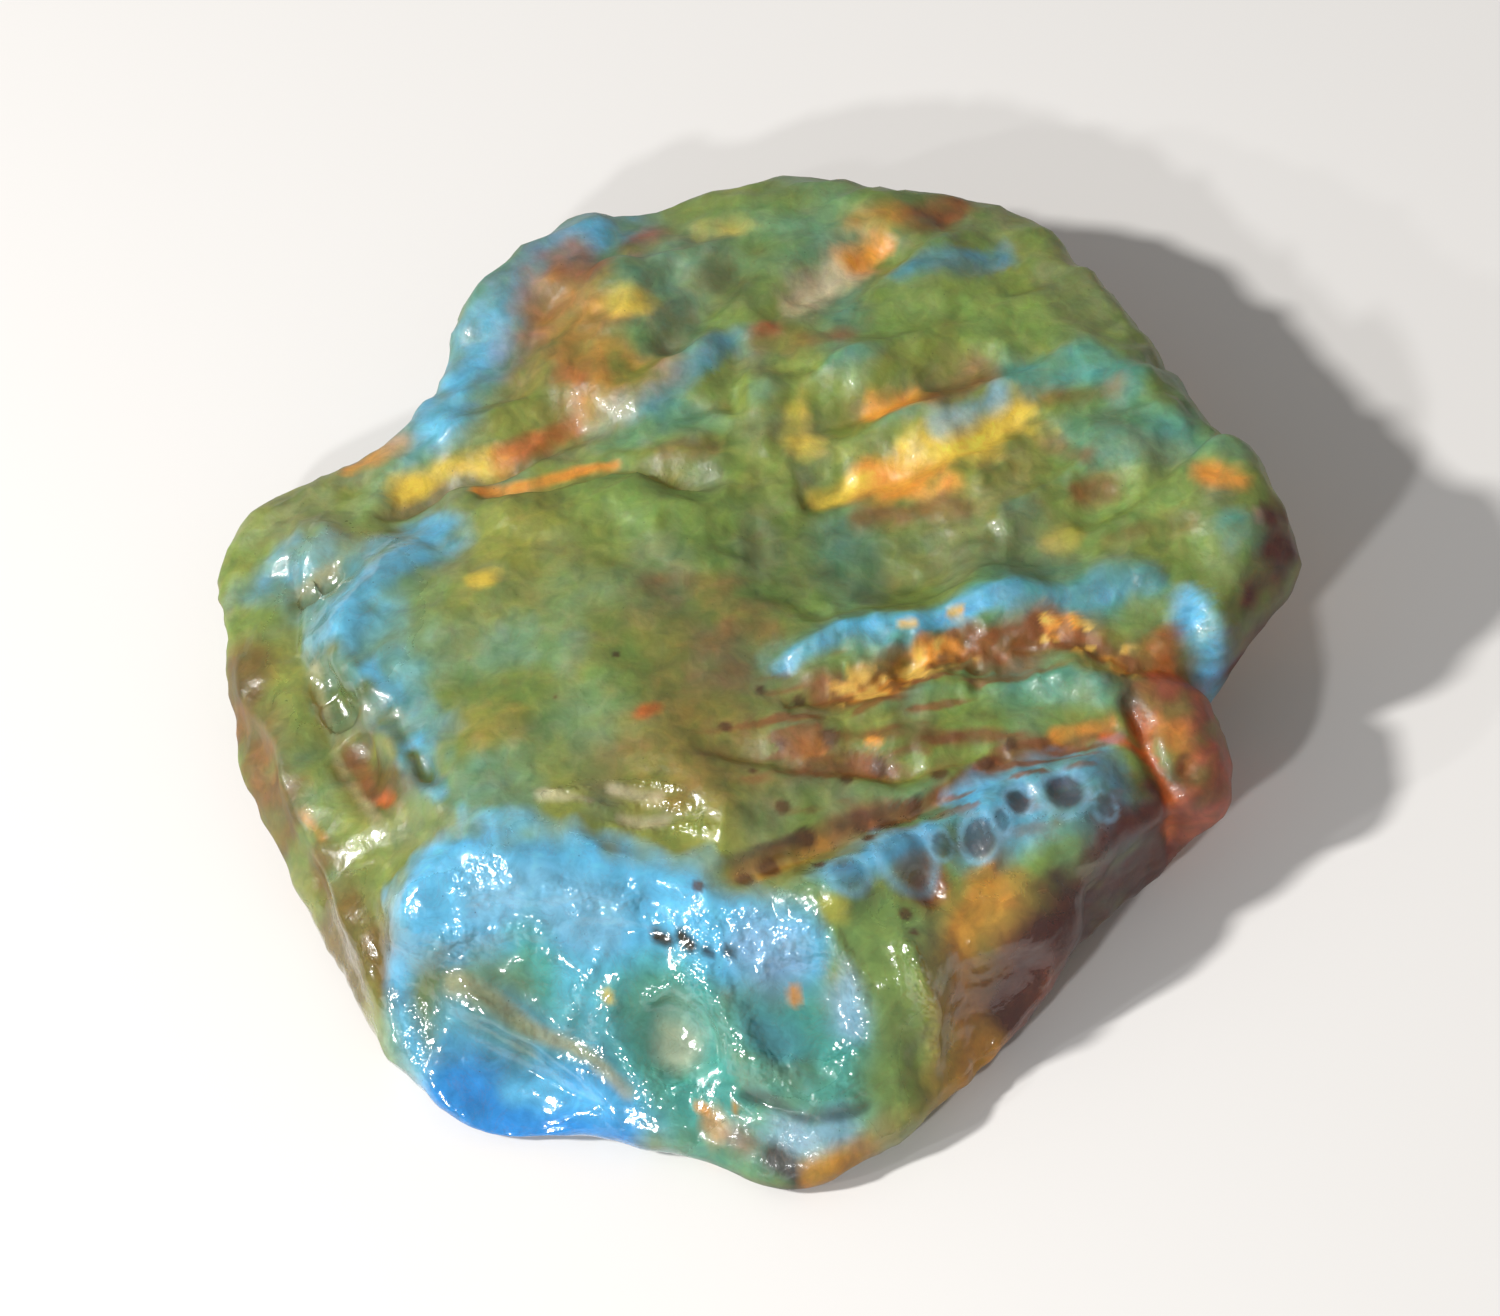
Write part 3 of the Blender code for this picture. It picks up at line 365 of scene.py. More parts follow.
def spot_height(table, reach, x, y):
    """The height at (x, y), from the spot heights near it."""
    total = np.zeros_like(x)
    weights = np.zeros_like(x)
    for spot_x, spot_y, height in table:
        weight = 1.0 / ((x - spot_x) ** 2 + (y - spot_y) ** 2 + reach ** 2) ** 2
        total += weight * height
        weights += weight
    return total / weights


def side(radius, angle, z):
    """How far outside the nugget's side a point lies."""
    rim, rim_z = around(RIM, 1, angle), around(RIM, 2, angle)
    upper, upper_z = around(UPPER, 1, angle), around(UPPER, 2, angle)
    inward, rise = rim - upper, upper_z - rim_z
    above = ((radius - rim) * rise + (z - rim_z) * inward) / np.hypot(rise, inward)
    undercut = around(UNDERCUT, 1, angle)
    below = ((radius - rim) * rim_z - (z - rim_z) * undercut) / np.hypot(rim_z, undercut)
    return smooth_max(above, below, RIM_EDGE)


def body(points):
    """How far outside the nugget each point lies; below zero it is inside."""
    x, y, z = points.T
    angle = np.degrees(np.arctan2(y, x)) % 360.0
    far = side(np.hypot(x, y), angle, z)
    far = smooth_max(far, z - spot_height(TOP, TOP_REACH, x, y), TOP_EDGE)
    far = smooth_max(far, spot_height(UNDERSIDE, UNDERSIDE_REACH, x, y) - z, FOOT_EDGE)
    for middle, sizes in SWELLINGS:
        swelling = (np.linalg.norm((points - middle) / sizes, axis=1) - 1.0) * min(sizes)
        far = smooth_min(far, swelling, SWELLING_BLEND)
    for spot, facing, curve, depth in HOLLOWS:
        facing = np.array(facing) / np.linalg.norm(facing)
        middle = np.array(spot) + facing * (curve - depth)
        far = smooth_max(far, curve - np.linalg.norm(points - middle, axis=1), HOLLOW_SOFTNESS * curve)
    return np.maximum(far, -z)


def mound(distance, reach):
    return np.clip(1.0 - (distance / reach) ** 2, 0.0, 1.0) ** 2


def crest(distance, reach):
    """Like a mound, but with a crease along its top."""
    share = np.clip(distance / reach, 0.0, 1.0)
    return (1.0 - share) ** 2 * (1.0 + share)


def wandering(x, y):
    """The points pushed about a little, so that what follows a line strays from it."""
    moved_x, moved_y = x.copy(), y.copy()
    for along_x, along_y, phase, reach in WANDERINGS:
        turns = 2.0 * np.pi * (x / along_x + y / along_y)
        moved_x += reach * np.sin(turns + phase)
        moved_y += reach * np.cos(turns - phase)
    return moved_x, moved_y


def from_line(x, y, line):
    """Each point's distance from a bent line, how far along it that is, and on which side of it."""
    line = np.array(line)
    lengths = np.hypot(*np.diff(line, axis=0).T)
    reached = np.concatenate([[0.0], np.cumsum(lengths)]) / lengths.sum()
    nearest = np.full_like(x, np.inf)
    share, left = np.zeros_like(x), np.zeros_like(x)
    for i, length in enumerate(lengths):
        way = (line[i + 1] - line[i]) / length
        off_x, off_y = x - line[i, 0], y - line[i, 1]
        along = np.clip(off_x * way[0] + off_y * way[1], 0.0, length)
        distance = np.hypot(off_x - along * way[0], off_y - along * way[1])
        closer = distance < nearest
        nearest = np.where(closer, distance, nearest)
        share = np.where(closer, reached[i] + (reached[i + 1] - reached[i]) * along / length, share)
        left = np.where(closer, np.sign(way[0] * off_y - way[1] * off_x), left)
    return nearest, share, left


def fading(share):
    """How much of a stroke is left near its two ends."""
    return ramp(np.minimum(share, 1.0 - share), 0.0, STROKE_ENDS) ** 0.5


def threads(points):
    """The height of the fine threads and ripples."""
    x, y = points[:, 0], points[:, 1]
    height = np.zeros_like(x)
    for reach, rise, line in THREADS:
        distance, share, _ = from_line(x, y, line)
        height += rise * fading(share) * crest(distance, reach)
    return height


def relief(points):
    """The height of the ridges, grooves, pits and bubbles of the upper side."""
    x, y = wandering(points[:, 0], points[:, 1])
    height = np.zeros_like(x)
    broken = BROKEN_MEAN + BROKEN_CHANGE * noise(points, BROKEN_LENGTH, 31)
    for reach, rise, wider, line in STROKES:
        distance, share, left = from_line(x, y, line)
        height += rise * fading(share) * broken * crest(distance, reach * (1.0 + wider * left))
    for spot_x, spot_y, reach, rise in SPOTS:
        height += rise * mound(np.hypot(x - spot_x, y - spot_y), reach)
    return height


def unevenness(points):
    height = np.zeros(len(points))
    for along_x, along_y, along_z, phase, rise in WAVES:
        turns = points[:, 0] / along_x + points[:, 1] / along_y + points[:, 2] / along_z
        height += rise * np.sin(2.0 * np.pi * turns + phase)
    return height


def corners(angle):
    """The corners of a cut from the middle of the top, over the side and back under."""
    nothing = np.zeros_like(angle)
    rim = around(RIM, 1, angle)
    foot = rim - around(UNDERCUT, 1, angle)
    distances = np.stack([nothing, around(UPPER, 1, angle), rim, foot, nothing], axis=1)
    middle = np.full_like(angle, MIDDLE_HEIGHT)
    heights = np.stack([middle, around(UPPER, 2, angle), around(RIM, 2, angle), nothing, nothing], axis=1)
    return distances, heights


def laid_out(directions):
    """Spreads a sphere of directions evenly over the outline's straight-sided form."""
    angle = np.degrees(np.arctan2(directions[:, 1], directions[:, 0])) % 360.0
    distances, heights = corners(angle)
    runs = np.hypot(np.diff(distances, axis=1), np.diff(heights, axis=1))
    areas = runs * (distances[:, 1:] + distances[:, :-1]) / 2.0
    left = (1.0 - directions[:, 2]) / 2.0 * areas.sum(axis=1)
    radius, height = np.zeros_like(angle), np.zeros_like(angle)
    for i in range(areas.shape[1]):
        here = left >= 0.0
        share = np.clip(left / areas[:, i], 0.0, 1.0)
        start, end = distances[:, i], distances[:, i + 1]
        reached = np.sqrt(start ** 2 * (1.0 - share) + end ** 2 * share)
        along = (reached - start) / np.where(np.abs(end - start) < LEAST_RUN, LEAST_RUN, end - start)
        radius = np.where(here, reached, radius)
        height = np.where(here, heights[:, i] + (heights[:, i + 1] - heights[:, i]) * along, height)
        left = left - areas[:, i]
    turn = np.radians(angle)
    return np.stack([radius * np.cos(turn), radius * np.sin(turn), height], axis=1)


def slope(points):
    """The direction in which each point leaves the nugget fastest, with its rate."""
    rise = [body(points + SLOPE_STEP * axis) - body(points - SLOPE_STEP * axis) for axis in np.eye(3)]
    return np.stack(rise, axis=1) / (2.0 * SLOPE_STEP)


def settled(points):
    """The points moved straight on to the surface."""
    rise = slope(points)
    return points - rise * (body(points) / np.maximum((rise ** 2).sum(axis=1), LEAST_SLOPE))[:, None]


def evened(points, edges):
    """The points slid along the surface until they are spread nearly evenly."""
    count = np.bincount(edges.ravel(), minlength=len(points))[:, None]
    for _ in range(EVENING_ROUNDS):
        total = np.zeros_like(points)
        np.add.at(total, edges[:, 0], points[edges[:, 1]])
        np.add.at(total, edges[:, 1], points[edges[:, 0]])
        points = settled(points + EVENING_SHARE * (total / count - points))
    return settled(points)


def surface(directions, edges):
    """The finished surface, the way that each point faces, and the height of its ridge or groove."""
    points = laid_out(directions)
    for _ in range(SETTLING_STEPS):
        points = settled(points)
    points = evened(points, edges)
    facing = slope(points)
    facing /= np.linalg.norm(facing, axis=1)[:, None]
    on_top = ramp(facing[:, 2], start=-0.30, run=0.40)
    off_ground = ramp(points[:, 2], start=0.0, run=1.2)
    height = relief(points) * on_top
    rise = height + threads(points) * on_top + unevenness(points) + ripples(points, facing)
    points += facing * (rise * off_ground)[:, None]
    points[:, 2] = np.where(points[:, 2] < GROUND_SNAP, 0.0, points[:, 2])
    return points, facing, height


def near(x, y, middle, sizes):
    """One at the middle of an oval seen from above, falling to nothing at its edge."""
    off = ((x - middle[0]) / sizes[0]) ** 2 + ((y - middle[1]) / sizes[1]) ** 2
    return inside(off, fade=1.5)


def along(points, direction, sizes):
    """The points turned and scaled so that noise over them is drawn out in a direction seen from above."""
    way = np.array(direction) / np.hypot(*direction)
    forward = points[:, 0] * way[0] + points[:, 1] * way[1]
    across = points[:, 1] * way[0] - points[:, 0] * way[1]
    return np.stack([forward / sizes[0], across / sizes[1], points[:, 2] / sizes[1]], axis=1)


def drawn_out(points, layers):
    """Layers of sharp-crested noise, each drawn out in its own direction."""
    return sum(share * ridged(along(points, way, sizes), 1.0, seed) for share, way, sizes, seed in layers)


def layered(points, layers):
    """Layers of sharp-crested noise with round lumps."""
    return sum(share * ridged(points, size, seed) for share, size, seed in layers)


def ripples(points, facing):
    """The fine relief: small facets and wrinkles, stronger where the surface is broken."""
    x, y = points[:, 0], points[:, 1]
    top = ramp(facing[:, 2], start=0.6, run=0.3)
    smooth = near(x, y, middle=(-6.0, -4.0), sizes=(8.0, 7.0)) * top
    back = ramp(y, start=3.0, run=2.0) * top
    front = ramp(-facing[:, 1], start=0.25, run=0.3) * ramp(-y, start=8.0, run=3.0)
    crust = near(x, y, middle=(8.0, -3.2), sizes=(7.5, 1.8)) * top
    chips = CHIPPED_HEIGHT * layered(points, CHIPPED) * (1.0 - smooth) * (1.0 - front)
    rise = (layered(points, ROUGH) + chips) * (1.0 - SMOOTH_SPARED * smooth)
    rise += SLANTING_HEIGHT * drawn_out(points, SLANTING) * back
    rise += WRINKLED_HEIGHT * drawn_out(points, WRINKLED) * front
    return rise + PITTED_HEIGHT * layered(points, PITTED) * crust


# The colours of the amber's haze, of the painted glints of gold in its crust and of the dirt in its hollows;
# some of them are also laid on as painted highlights and painted shade.
GREEN = (0.235, 0.395, 0.085)
GREY_GREEN = (0.250, 0.310, 0.150)
OLIVE = (0.320, 0.350, 0.060)
MOSS = (0.120, 0.180, 0.060)
TEAL = (0.080, 0.420, 0.360)
BLUE = (0.140, 0.600, 0.950)
DEEP_BLUE = (0.030, 0.330, 0.850)
BROWN = (0.290, 0.110, 0.030)
RUST = (0.600, 0.140, 0.020)
ORANGE = (0.980, 0.400, 0.050)
YELLOW = (0.980, 0.720, 0.080)
OCHRE = (0.600, 0.290, 0.035)
CREAM = (0.880, 0.780, 0.500)
PINK = (0.400, 0.110, 0.055)
DARK = (0.030, 0.034, 0.026)
DIRT = (0.110, 0.045, 0.015)
PAINTED_SHADE_MAUVE = (0.095, 0.028, 0.018)
UMBER = (0.180, 0.125, 0.025)
SEA = (0.110, 0.400, 0.520)
STRAW = (0.520, 0.480, 0.220)
LILAC = (0.340, 0.560, 0.840)
SLATE = (0.060, 0.090, 0.120)
PALE_BLUE = (0.300, 0.660, 0.900)
GOLD_GLINT = (0.980, 0.620, 0.120)

# Where brown flecks and painted gold glints lie among brown crust.
BROWN_FLECKS_AND_GOLD_GLINTS = [
    [(3.4, -4.3), (5.2, -4.1), (6.6, -2.9), (7.6, -2.4)],
    [(10.6, -1.8), (13.6, -3.0)],
]

# Crinkled patches of the front: middle seen from above, half sizes.
CRINKLED = [
    ((-10.0, -12.6), (1.5, 0.8)), ((-6.2, -12.9), (1.0, 0.5)), ((-4.6, -12.9), (0.7, 0.5)),
    ((-1.0, -14.2), (2.2, 0.9)), ((-3.6, -18.2), (1.3, 0.9)), ((3.4, -18.8), (0.8, 0.6)),
    ((0.9, -14.6), (1.6, 0.7)), ((-1.2, -16.2), (0.9, 0.9)), ((0.2, -18.0), (1.0, 0.7)),
    ((3.2, -17.6), (0.9, 0.6)), ((-12.5, -16.0), (0.5, 1.4)), ((-11.0, -14.2), (1.6, 0.4)),
    ((-0.5, -17.2), (0.7, 1.2)), ((3.7, -16.2), (0.5, 1.2)),
]

# Bubbles just under the surface of the roll: middle seen from above, radius, and how dark they are.
BUBBLES = [
    (3.2, -12.5, 0.7, 0.45), (5.3, -11.5, 1.0, 0.45), (8.0, -10.6, 0.65, 0.8), (9.4, -9.2, 0.5, 0.85),
    (11.1, -8.8, 0.8, 0.9), (8.8, -10.0, 0.35, 0.6), (6.6, -11.0, 0.4, 0.6), (12.6, -9.1, 0.4, 0.6),
]

# Brown specks and small pits: middle seen from above, radius.
SPECKS = [
    (-0.5, -12.3, 0.30), (0.4, -11.8, 0.35), (0.9, -9.6, 0.22), (1.7, -10.6, 0.35), (2.2, -11.9, 0.20),
    (3.7, -10.0, 0.28), (4.7, -9.9, 0.35), (5.7, -9.2, 0.30), (3.2, -8.1, 0.22), (4.4, -7.5, 0.30),
    (6.6, -8.1, 0.35), (8.3, -7.5, 0.30), (9.2, -6.7, 0.28), (1.5, -4.8, 0.25), (0.1, -4.4, 0.20),
    (2.6, -6.6, 0.28), (4.0, -10.7, 0.20), (5.3, -13.5, 0.22), (5.6, -14.2, 0.18), (-2.1, -12.7, 0.22),
    (-5.2, -3.2, 0.15), (-1.2, -6.2, 0.20), (-0.2, -8.2, 0.15), (-7.4, -5.0, 0.12), (0.8, -7.0, 0.18),
]

# Where the haze changes colour, and where painted highlights and painted shade are laid on: colour,
# strength, half width, and the line it follows seen from above.
PAINT = [
    # The smooth top.
    (OLIVE, 0.50, 3.5, [(-11.5, -1.0), (-8.0, -0.5), (-6.5, -7.0)]),
    (TEAL, 0.30, 2.2, [(-13.0, -0.5), (-13.0, -4.5)]),
    (TEAL, 0.40, 1.4, [(-9.5, -8.5), (-11.0, -8.5)]),
    (TEAL, 0.35, 1.2, [(-9.0, -2.0), (-7.5, -2.5)]),
    (BROWN, 0.45, 3.0, [(-2.5, -2.5), (-1.5, -6.5)]),
    (BROWN, 0.45, 1.0, [(-3.5, 0.0), (-1.5, 0.5)]),
    (BROWN, 0.35, 2.0, [(-4.5, -8.0), (-1.0, -9.0)]),
    (BROWN, 0.40, 1.4, [(-0.5, -1.5), (1.5, -4.0)]),
    (OCHRE, 0.40, 1.0, [(-10.0, -6.0), (-9.0, -6.0)]),
    (RUST, 0.80, 0.35, [(-4.2, -5.8), (-3.8, -5.7)]),
    (YELLOW, 0.90, 0.4, [(-10.4, 0.6), (-9.9, 0.7)]),
    # Painted highlights: the next three cream strokes are glints on the ripples behind the front edge.
    (CREAM, 0.70, 0.3, [(-5.1, -8.9), (-3.7, -9.1)]),
    (CREAM, 0.70, 0.3, [(-5.0, -10.1), (-3.4, -10.0)]),
    (CREAM, 0.50, 0.25, [(-7.9, -9.2), (-6.1, -9.7)]),
    (OLIVE, 0.60, 1.2, [(-4.5, -11.5), (-1.0, -11.5)]),
    # The left flank and the crest above it.
    (MOSS, 0.45, 2.8, [(-18.0, -1.6), (-16.6, -6.6), (-14.8, -11.6), (-13.6, -14.0)]),
    (OLIVE, 0.65, 2.6, [(-18.0, -1.6), (-16.4, -6.6), (-14.8, -11.6), (-13.6, -14.0)]),
    (GREEN, 0.60, 1.0, [(-17.4, -4.4), (-15.8, -8.6), (-14.2, -12.2)]),
    (SEA, 0.75, 1.6, [(-12.4, 3.6), (-14.8, 0.8), (-14.9, -1.8), (-12.8, -6.4)]),
    (SEA, 0.60, 1.5, [(-18.2, 2.8), (-15.4, 1.4), (-15.2, -0.6)]),
    (BLUE, 0.45, 0.8, [(-12.0, 4.0), (-13.4, 2.2), (-14.8, 0.8)]),
    (BLUE, 0.50, 0.6, [(-15.3, 0.0), (-15.6, -1.4)]),
    (BLUE, 0.70, 0.5, [(-14.3, -2.6), (-13.6, -4.0)]),
    (BLUE, 0.60, 0.4, [(-12.6, -6.0), (-11.7, -8.8)]),
    (BLUE, 0.40, 0.8, [(-18.5, 3.4), (-16.4, 3.1), (-14.0, 3.4)]),
    (MOSS, 1.00, 0.55, [(-17.3, 1.7), (-16.6, 2.0), (-15.9, 2.4)]),
    # Painted highlight: the pale rim of the pit.
    (STRAW, 0.70, 0.22, [(-17.2, 2.4), (-16.4, 2.8), (-15.8, 3.0)]),
    (MOSS, 1.00, 0.6, [(-16.0, -2.0), (-15.6, -3.1), (-15.0, -4.4)]),
    # Painted highlight: the pale rim of the pit.
    (STRAW, 0.65, 0.20, [(-16.6, -2.0), (-16.4, -3.1), (-16.0, -4.2)]),
    (MOSS, 0.85, 0.7, [(-14.3, -3.7), (-13.3, -5.5)]),
    (MOSS, 0.85, 0.5, [(-12.5, -6.8), (-11.9, -8.0)]),
    (UMBER, 1.10, 0.9, [(-14.9, -5.5), (-14.4, -6.6), (-13.7, -7.9)]),
    (BROWN, 0.80, 0.4, [(-15.1, -5.6), (-14.7, -6.6), (-14.0, -7.8)]),
    (OLIVE, 0.70, 0.4, [(-14.1, -5.6), (-13.5, -6.6)]),
    (RUST, 0.90, 0.25, [(-13.7, -8.0), (-13.5, -8.3)]),
    # Painted highlight: the pale rim along the left of the brown pit.
    (STRAW, 0.80, 0.20, [(-15.6, -5.4), (-15.2, -6.5), (-14.8, -7.3), (-13.8, -8.9)]),
    (UMBER, 1.10, 1.0, [(-19.4, -1.2), (-18.4, -4.6), (-17.0, -7.6)]),
    (BROWN, 0.50, 0.5, [(-19.2, -2.4), (-18.2, -5.6)]),
    (UMBER, 0.95, 0.8, [(-16.0, -9.0), (-14.8, -11.4), (-13.3, -14.5)]),
    (UMBER, 0.80, 0.7, [(-15.8, -11.4), (-14.6, -14.0)]),
    (UMBER, 0.80, 0.5, [(-12.0, -12.5), (-11.7, -11.6)]),
    (ORANGE, 0.80, 0.3, [(-16.5, -7.8), (-16.0, -8.6)]),
    # The crease behind the smooth top.
    (YELLOW, 1.00, 0.5, [(-13.5, 6.6), (-11.5, 7.3), (-9.8, 7.8)]),
    (RUST, 1.00, 0.5, [(-9.6, 7.9), (-8.1, 8.5), (-7.0, 9.0)]),
    (ORANGE, 0.90, 0.3, [(-10.8, 5.7), (-8.2, 6.0), (-5.5, 6.5)]),
    (ORANGE, 0.70, 0.4, [(-15.3, 7.8), (-13.8, 8.6)]),
    # The block at the back left.
    (SEA, 0.75, 1.7, [(-11.8, 9.5), (-10.4, 12.4), (-8.4, 15.8), (-5.6, 18.4)]),
    (BLUE, 0.65, 0.9, [(-12.2, 9.5), (-11.0, 12.4), (-9.6, 14.5), (-8.4, 16.5), (-6.0, 18.8)]),
    (BROWN, 0.80, 2.3, [(-7.6, 15.2), (-7.2, 12.4), (-7.0, 10.6)]),
    (OCHRE, 0.55, 1.5, [(-8.0, 14.4), (-6.4, 11.6), (-5.0, 10.2)]),
    (OLIVE, 0.60, 0.8, [(-8.9, 10.8), (-8.6, 12.0)]),
    (OCHRE, 0.90, 0.8, [(-6.0, 9.6), (-4.5, 9.4), (-3.4, 10.3)]),
    (RUST, 0.60, 0.6, [(-7.5, 11.3), (-6.8, 10.4)]),
    (BROWN, 0.70, 0.7, [(-7.4, 16.7), (-6.0, 15.5)]),
    (PINK, 0.70, 0.6, [(-4.8, 17.3), (-3.9, 18.0)]),
    # Painted highlight: a small yellow glint.
    (YELLOW, 0.90, 0.7, [(-5.2, 13.8), (-4.5, 13.8)]),
    (YELLOW, 0.70, 0.7, [(-1.9, 18.0), (-1.0, 18.1)]),
    (SEA, 0.75, 0.8, [(-4.3, 9.3), (-2.6, 10.4), (-1.2, 12.0)]),
    (MOSS, 0.80, 0.6, [(-3.1, 12.9), (-2.5, 13.1)]),
    (MOSS, 0.80, 0.9, [(-1.3, 15.3), (0.0, 13.8)]),
    (BROWN, 0.70, 0.6, [(-4.2, 6.6), (-1.8, 6.9)]),
    (TEAL, 0.50, 1.3, [(-5.2, 8.5), (-2.5, 8.5)]),
    # The block at the back right.
    # Painted highlight: a cream-to-orange glint along a groove, over the next two strokes.
    (CREAM, 0.80, 0.5, [(1.2, 13.8), (2.7, 15.1), (3.7, 16.2)]),
    (ORANGE, 0.90, 0.5, [(3.7, 16.2), (4.8, 17.2)]),
    (BROWN, 0.70, 0.6, [(0.4, 12.2), (1.8, 11.9), (3.5, 12.3)]),
    (BROWN, 1.00, 0.9, [(6.2, 18.1), (7.7, 19.1)]),
    (OCHRE, 0.70, 0.8, [(3.8, 18.2), (4.8, 18.5)]),
    (SEA, 0.85, 0.7, [(5.5, 15.0), (7.4, 15.7), (9.0, 16.2)]),
    (GREEN, 0.90, 1.8, [(5.4, 12.9), (8.1, 13.6), (10.0, 12.4)]),
    (TEAL, 0.70, 1.1, [(9.8, 9.8), (12.2, 10.0), (13.4, 9.3)]),
    (BROWN, 0.50, 0.6, [(10.5, 8.6), (13.3, 8.9)]),
    # Painted highlights: the yellow and orange strokes from here to the blue one are glints in the grooves.
    (YELLOW, 0.80, 0.6, [(1.6, 8.6), (1.7, 7.0)]),
    (ORANGE, 0.90, 0.6, [(4.5, 8.6), (6.0, 9.1)]),
    (BROWN, 0.80, 0.7, [(7.0, 9.0), (8.3, 10.2)]),
    (YELLOW, 1.00, 1.2, [(6.0, 5.8), (7.0, 6.4), (8.1, 6.9)]),
    (YELLOW, 1.00, 1.0, [(8.4, 7.2), (9.6, 7.9)]),
    (ORANGE, 0.95, 0.9, [(4.2, 5.3), (5.4, 5.0), (6.8, 5.2)]),
    (YELLOW, 0.90, 0.6, [(2.2, 4.8), (3.4, 5.2)]),
    (BROWN, 0.70, 0.6, [(4.0, 3.9), (7.6, 3.5)]),
    (BLUE, 0.50, 0.5, [(6.8, 7.4), (9.0, 8.7)]),
    (BROWN, 0.70, 0.6, [(11.8, 4.1), (13.0, 4.3)]),
    (ORANGE, 0.90, 0.6, [(16.8, 4.2), (17.8, 3.9)]),
    (BROWN, 0.60, 0.5, [(10.8, 6.6), (12.3, 5.5)]),
    (YELLOW, 0.55, 0.4, [(11.0, 2.0), (11.6, 2.2)]),
    (CREAM, 0.90, 0.4, [(18.6, 2.3), (19.1, 2.3)]),
    (TEAL, 0.70, 0.9, [(17.4, 1.9), (18.5, 1.4)]),
    (BROWN, 0.50, 0.5, [(12.8, 1.7), (15.8, 2.4)]),
    # The valley, the blue ridge and the crust.
    (MOSS, 0.55, 1.8, [(2.0, 2.6), (6.0, 1.8), (9.6, 1.9)]),
    (MOSS, 0.60, 0.6, [(0.0, 3.2), (0.9, 1.3), (3.6, 0.7)]),
    (TEAL, 0.70, 0.8, [(0.4, -3.2), (3.4, -2.3), (7.4, -1.4), (10.8, -0.8), (14.6, -0.2)]),
    (BLUE, 0.95, 0.50, [(0.6, -3.4), (3.4, -2.3), (6.3, -1.6), (9.0, -1.1)]),
    (SEA, 0.80, 0.55, [(9.0, -1.1), (10.8, -0.8), (13.0, -0.5), (14.6, -0.1)]),
    # Painted glints of gold on the blue ridge.
    (GOLD_GLINT, 0.90, 0.22, [(5.1, -2.0), (5.6, -1.9)]),
    (GOLD_GLINT, 0.90, 0.22, [(7.2, -1.4), (7.6, -1.4)]),
    (BLUE, 1.00, 1.0, [(15.8, -1.0), (16.4, -1.9), (16.6, -2.3)]),
    (BROWN, 1.00, 0.8, [(2.4, -4.5), (4.8, -4.1), (7.1, -2.7), (10.4, -2.1), (13.4, -2.7)]),
    (ORANGE, 0.90, 0.5, [(3.6, -4.3), (4.9, -4.2), (6.2, -3.0), (7.3, -2.5)]),
    (ORANGE, 0.90, 0.35, [(10.8, -1.9), (11.6, -1.8)]),
    (ORANGE, 0.90, 0.35, [(12.8, -2.9), (13.4, -3.0)]),
    (MOSS, 0.80, 0.8, [(14.3, -2.0), (15.2, -2.8)]),
    (RUST, 0.90, 0.8, [(14.8, -2.4), (15.1, -3.6)]),
    # Painted shade: the side of the right rim, turned away from the light, darkened.
    (PAINTED_SHADE_MAUVE, 0.90, 1.1, [(19.4, 2.2), (19.0, 0.4), (18.0, -1.8)]),
    (TEAL, 0.60, 0.6, [(11.0, -4.5), (13.0, -4.7)]),
    (BROWN, 0.80, 0.45, [(1.4, -7.6), (3.3, -7.3), (5.4, -7.6)]),
    (BROWN, 0.80, 0.40, [(3.2, -6.5), (6.0, -6.4), (8.9, -6.5)]),
    (ORANGE, 0.80, 0.22, [(4.1, -6.7), (4.6, -6.8)]),
    (ORANGE, 0.80, 0.25, [(1.6, -7.0), (2.1, -6.9)]),
    # The long groove and the roll below it.
    (BROWN, 0.85, 0.45, [(-0.8, -12.0), (1.5, -11.0), (4.1, -9.6), (6.2, -9.0), (8.3, -7.9)]),
    (BROWN, 0.90, 0.45, [(8.3, -7.9), (9.3, -6.9), (11.0, -6.3), (12.8, -5.7)]),
    (OCHRE, 0.60, 0.3, [(0.1, -12.3), (1.5, -11.5), (2.5, -10.8)]),
    (DARK, 0.60, 0.25, [(-1.4, -11.8), (0.2, -11.2), (1.6, -10.8)]),
    (DARK, 0.50, 0.18, [(3.0, -10.1), (4.6, -9.2), (6.0, -8.7)]),
    (ORANGE, 0.90, 0.25, [(10.8, -6.0), (12.9, -5.6)]),
    (RUST, 1.00, 0.25, [(12.6, -6.2), (13.6, -6.6), (14.4, -6.7)]),
    (BLUE, 0.90, 0.9, [(3.0, -12.4), (4.4, -11.6), (6.2, -10.7)]),
    (BLUE, 0.95, 1.7, [(8.4, -9.8), (9.8, -9.2), (11.2, -8.7), (12.5, -8.6)]),
    (TEAL, 0.60, 0.8, [(11.6, -9.6), (11.2, -11.0)]),
    (BLUE, 0.50, 0.8, [(7.2, -11.0), (8.8, -10.6)]),
    (DARK, 0.55, 0.5, [(9.2, -9.0), (9.7, -8.9)]),
    (DARK, 0.60, 0.6, [(10.8, -8.8), (11.5, -8.7)]),
    (DARK, 0.50, 0.5, [(7.1, -10.7), (7.8, -10.5)]),
    (BROWN, 1.00, 0.7, [(5.6, -12.7), (6.4, -12.0)]),
    (YELLOW, 1.00, 0.45, [(2.5, -13.7), (3.1, -13.7)]),
    (GREEN, 0.60, 1.0, [(8.3, -11.8), (10.2, -11.4), (11.4, -11.0)]),
    (GREEN, 0.60, 1.3, [(2.6, -14.0), (4.2, -14.2)]),
    # The right of the front and the lobe.
    (OCHRE, 0.95, 1.3, [(8.2, -12.2), (7.3, -14.0), (6.7, -16.0)]),
    (ORANGE, 0.60, 1.3, [(9.2, -12.9), (9.6, -13.8)]),
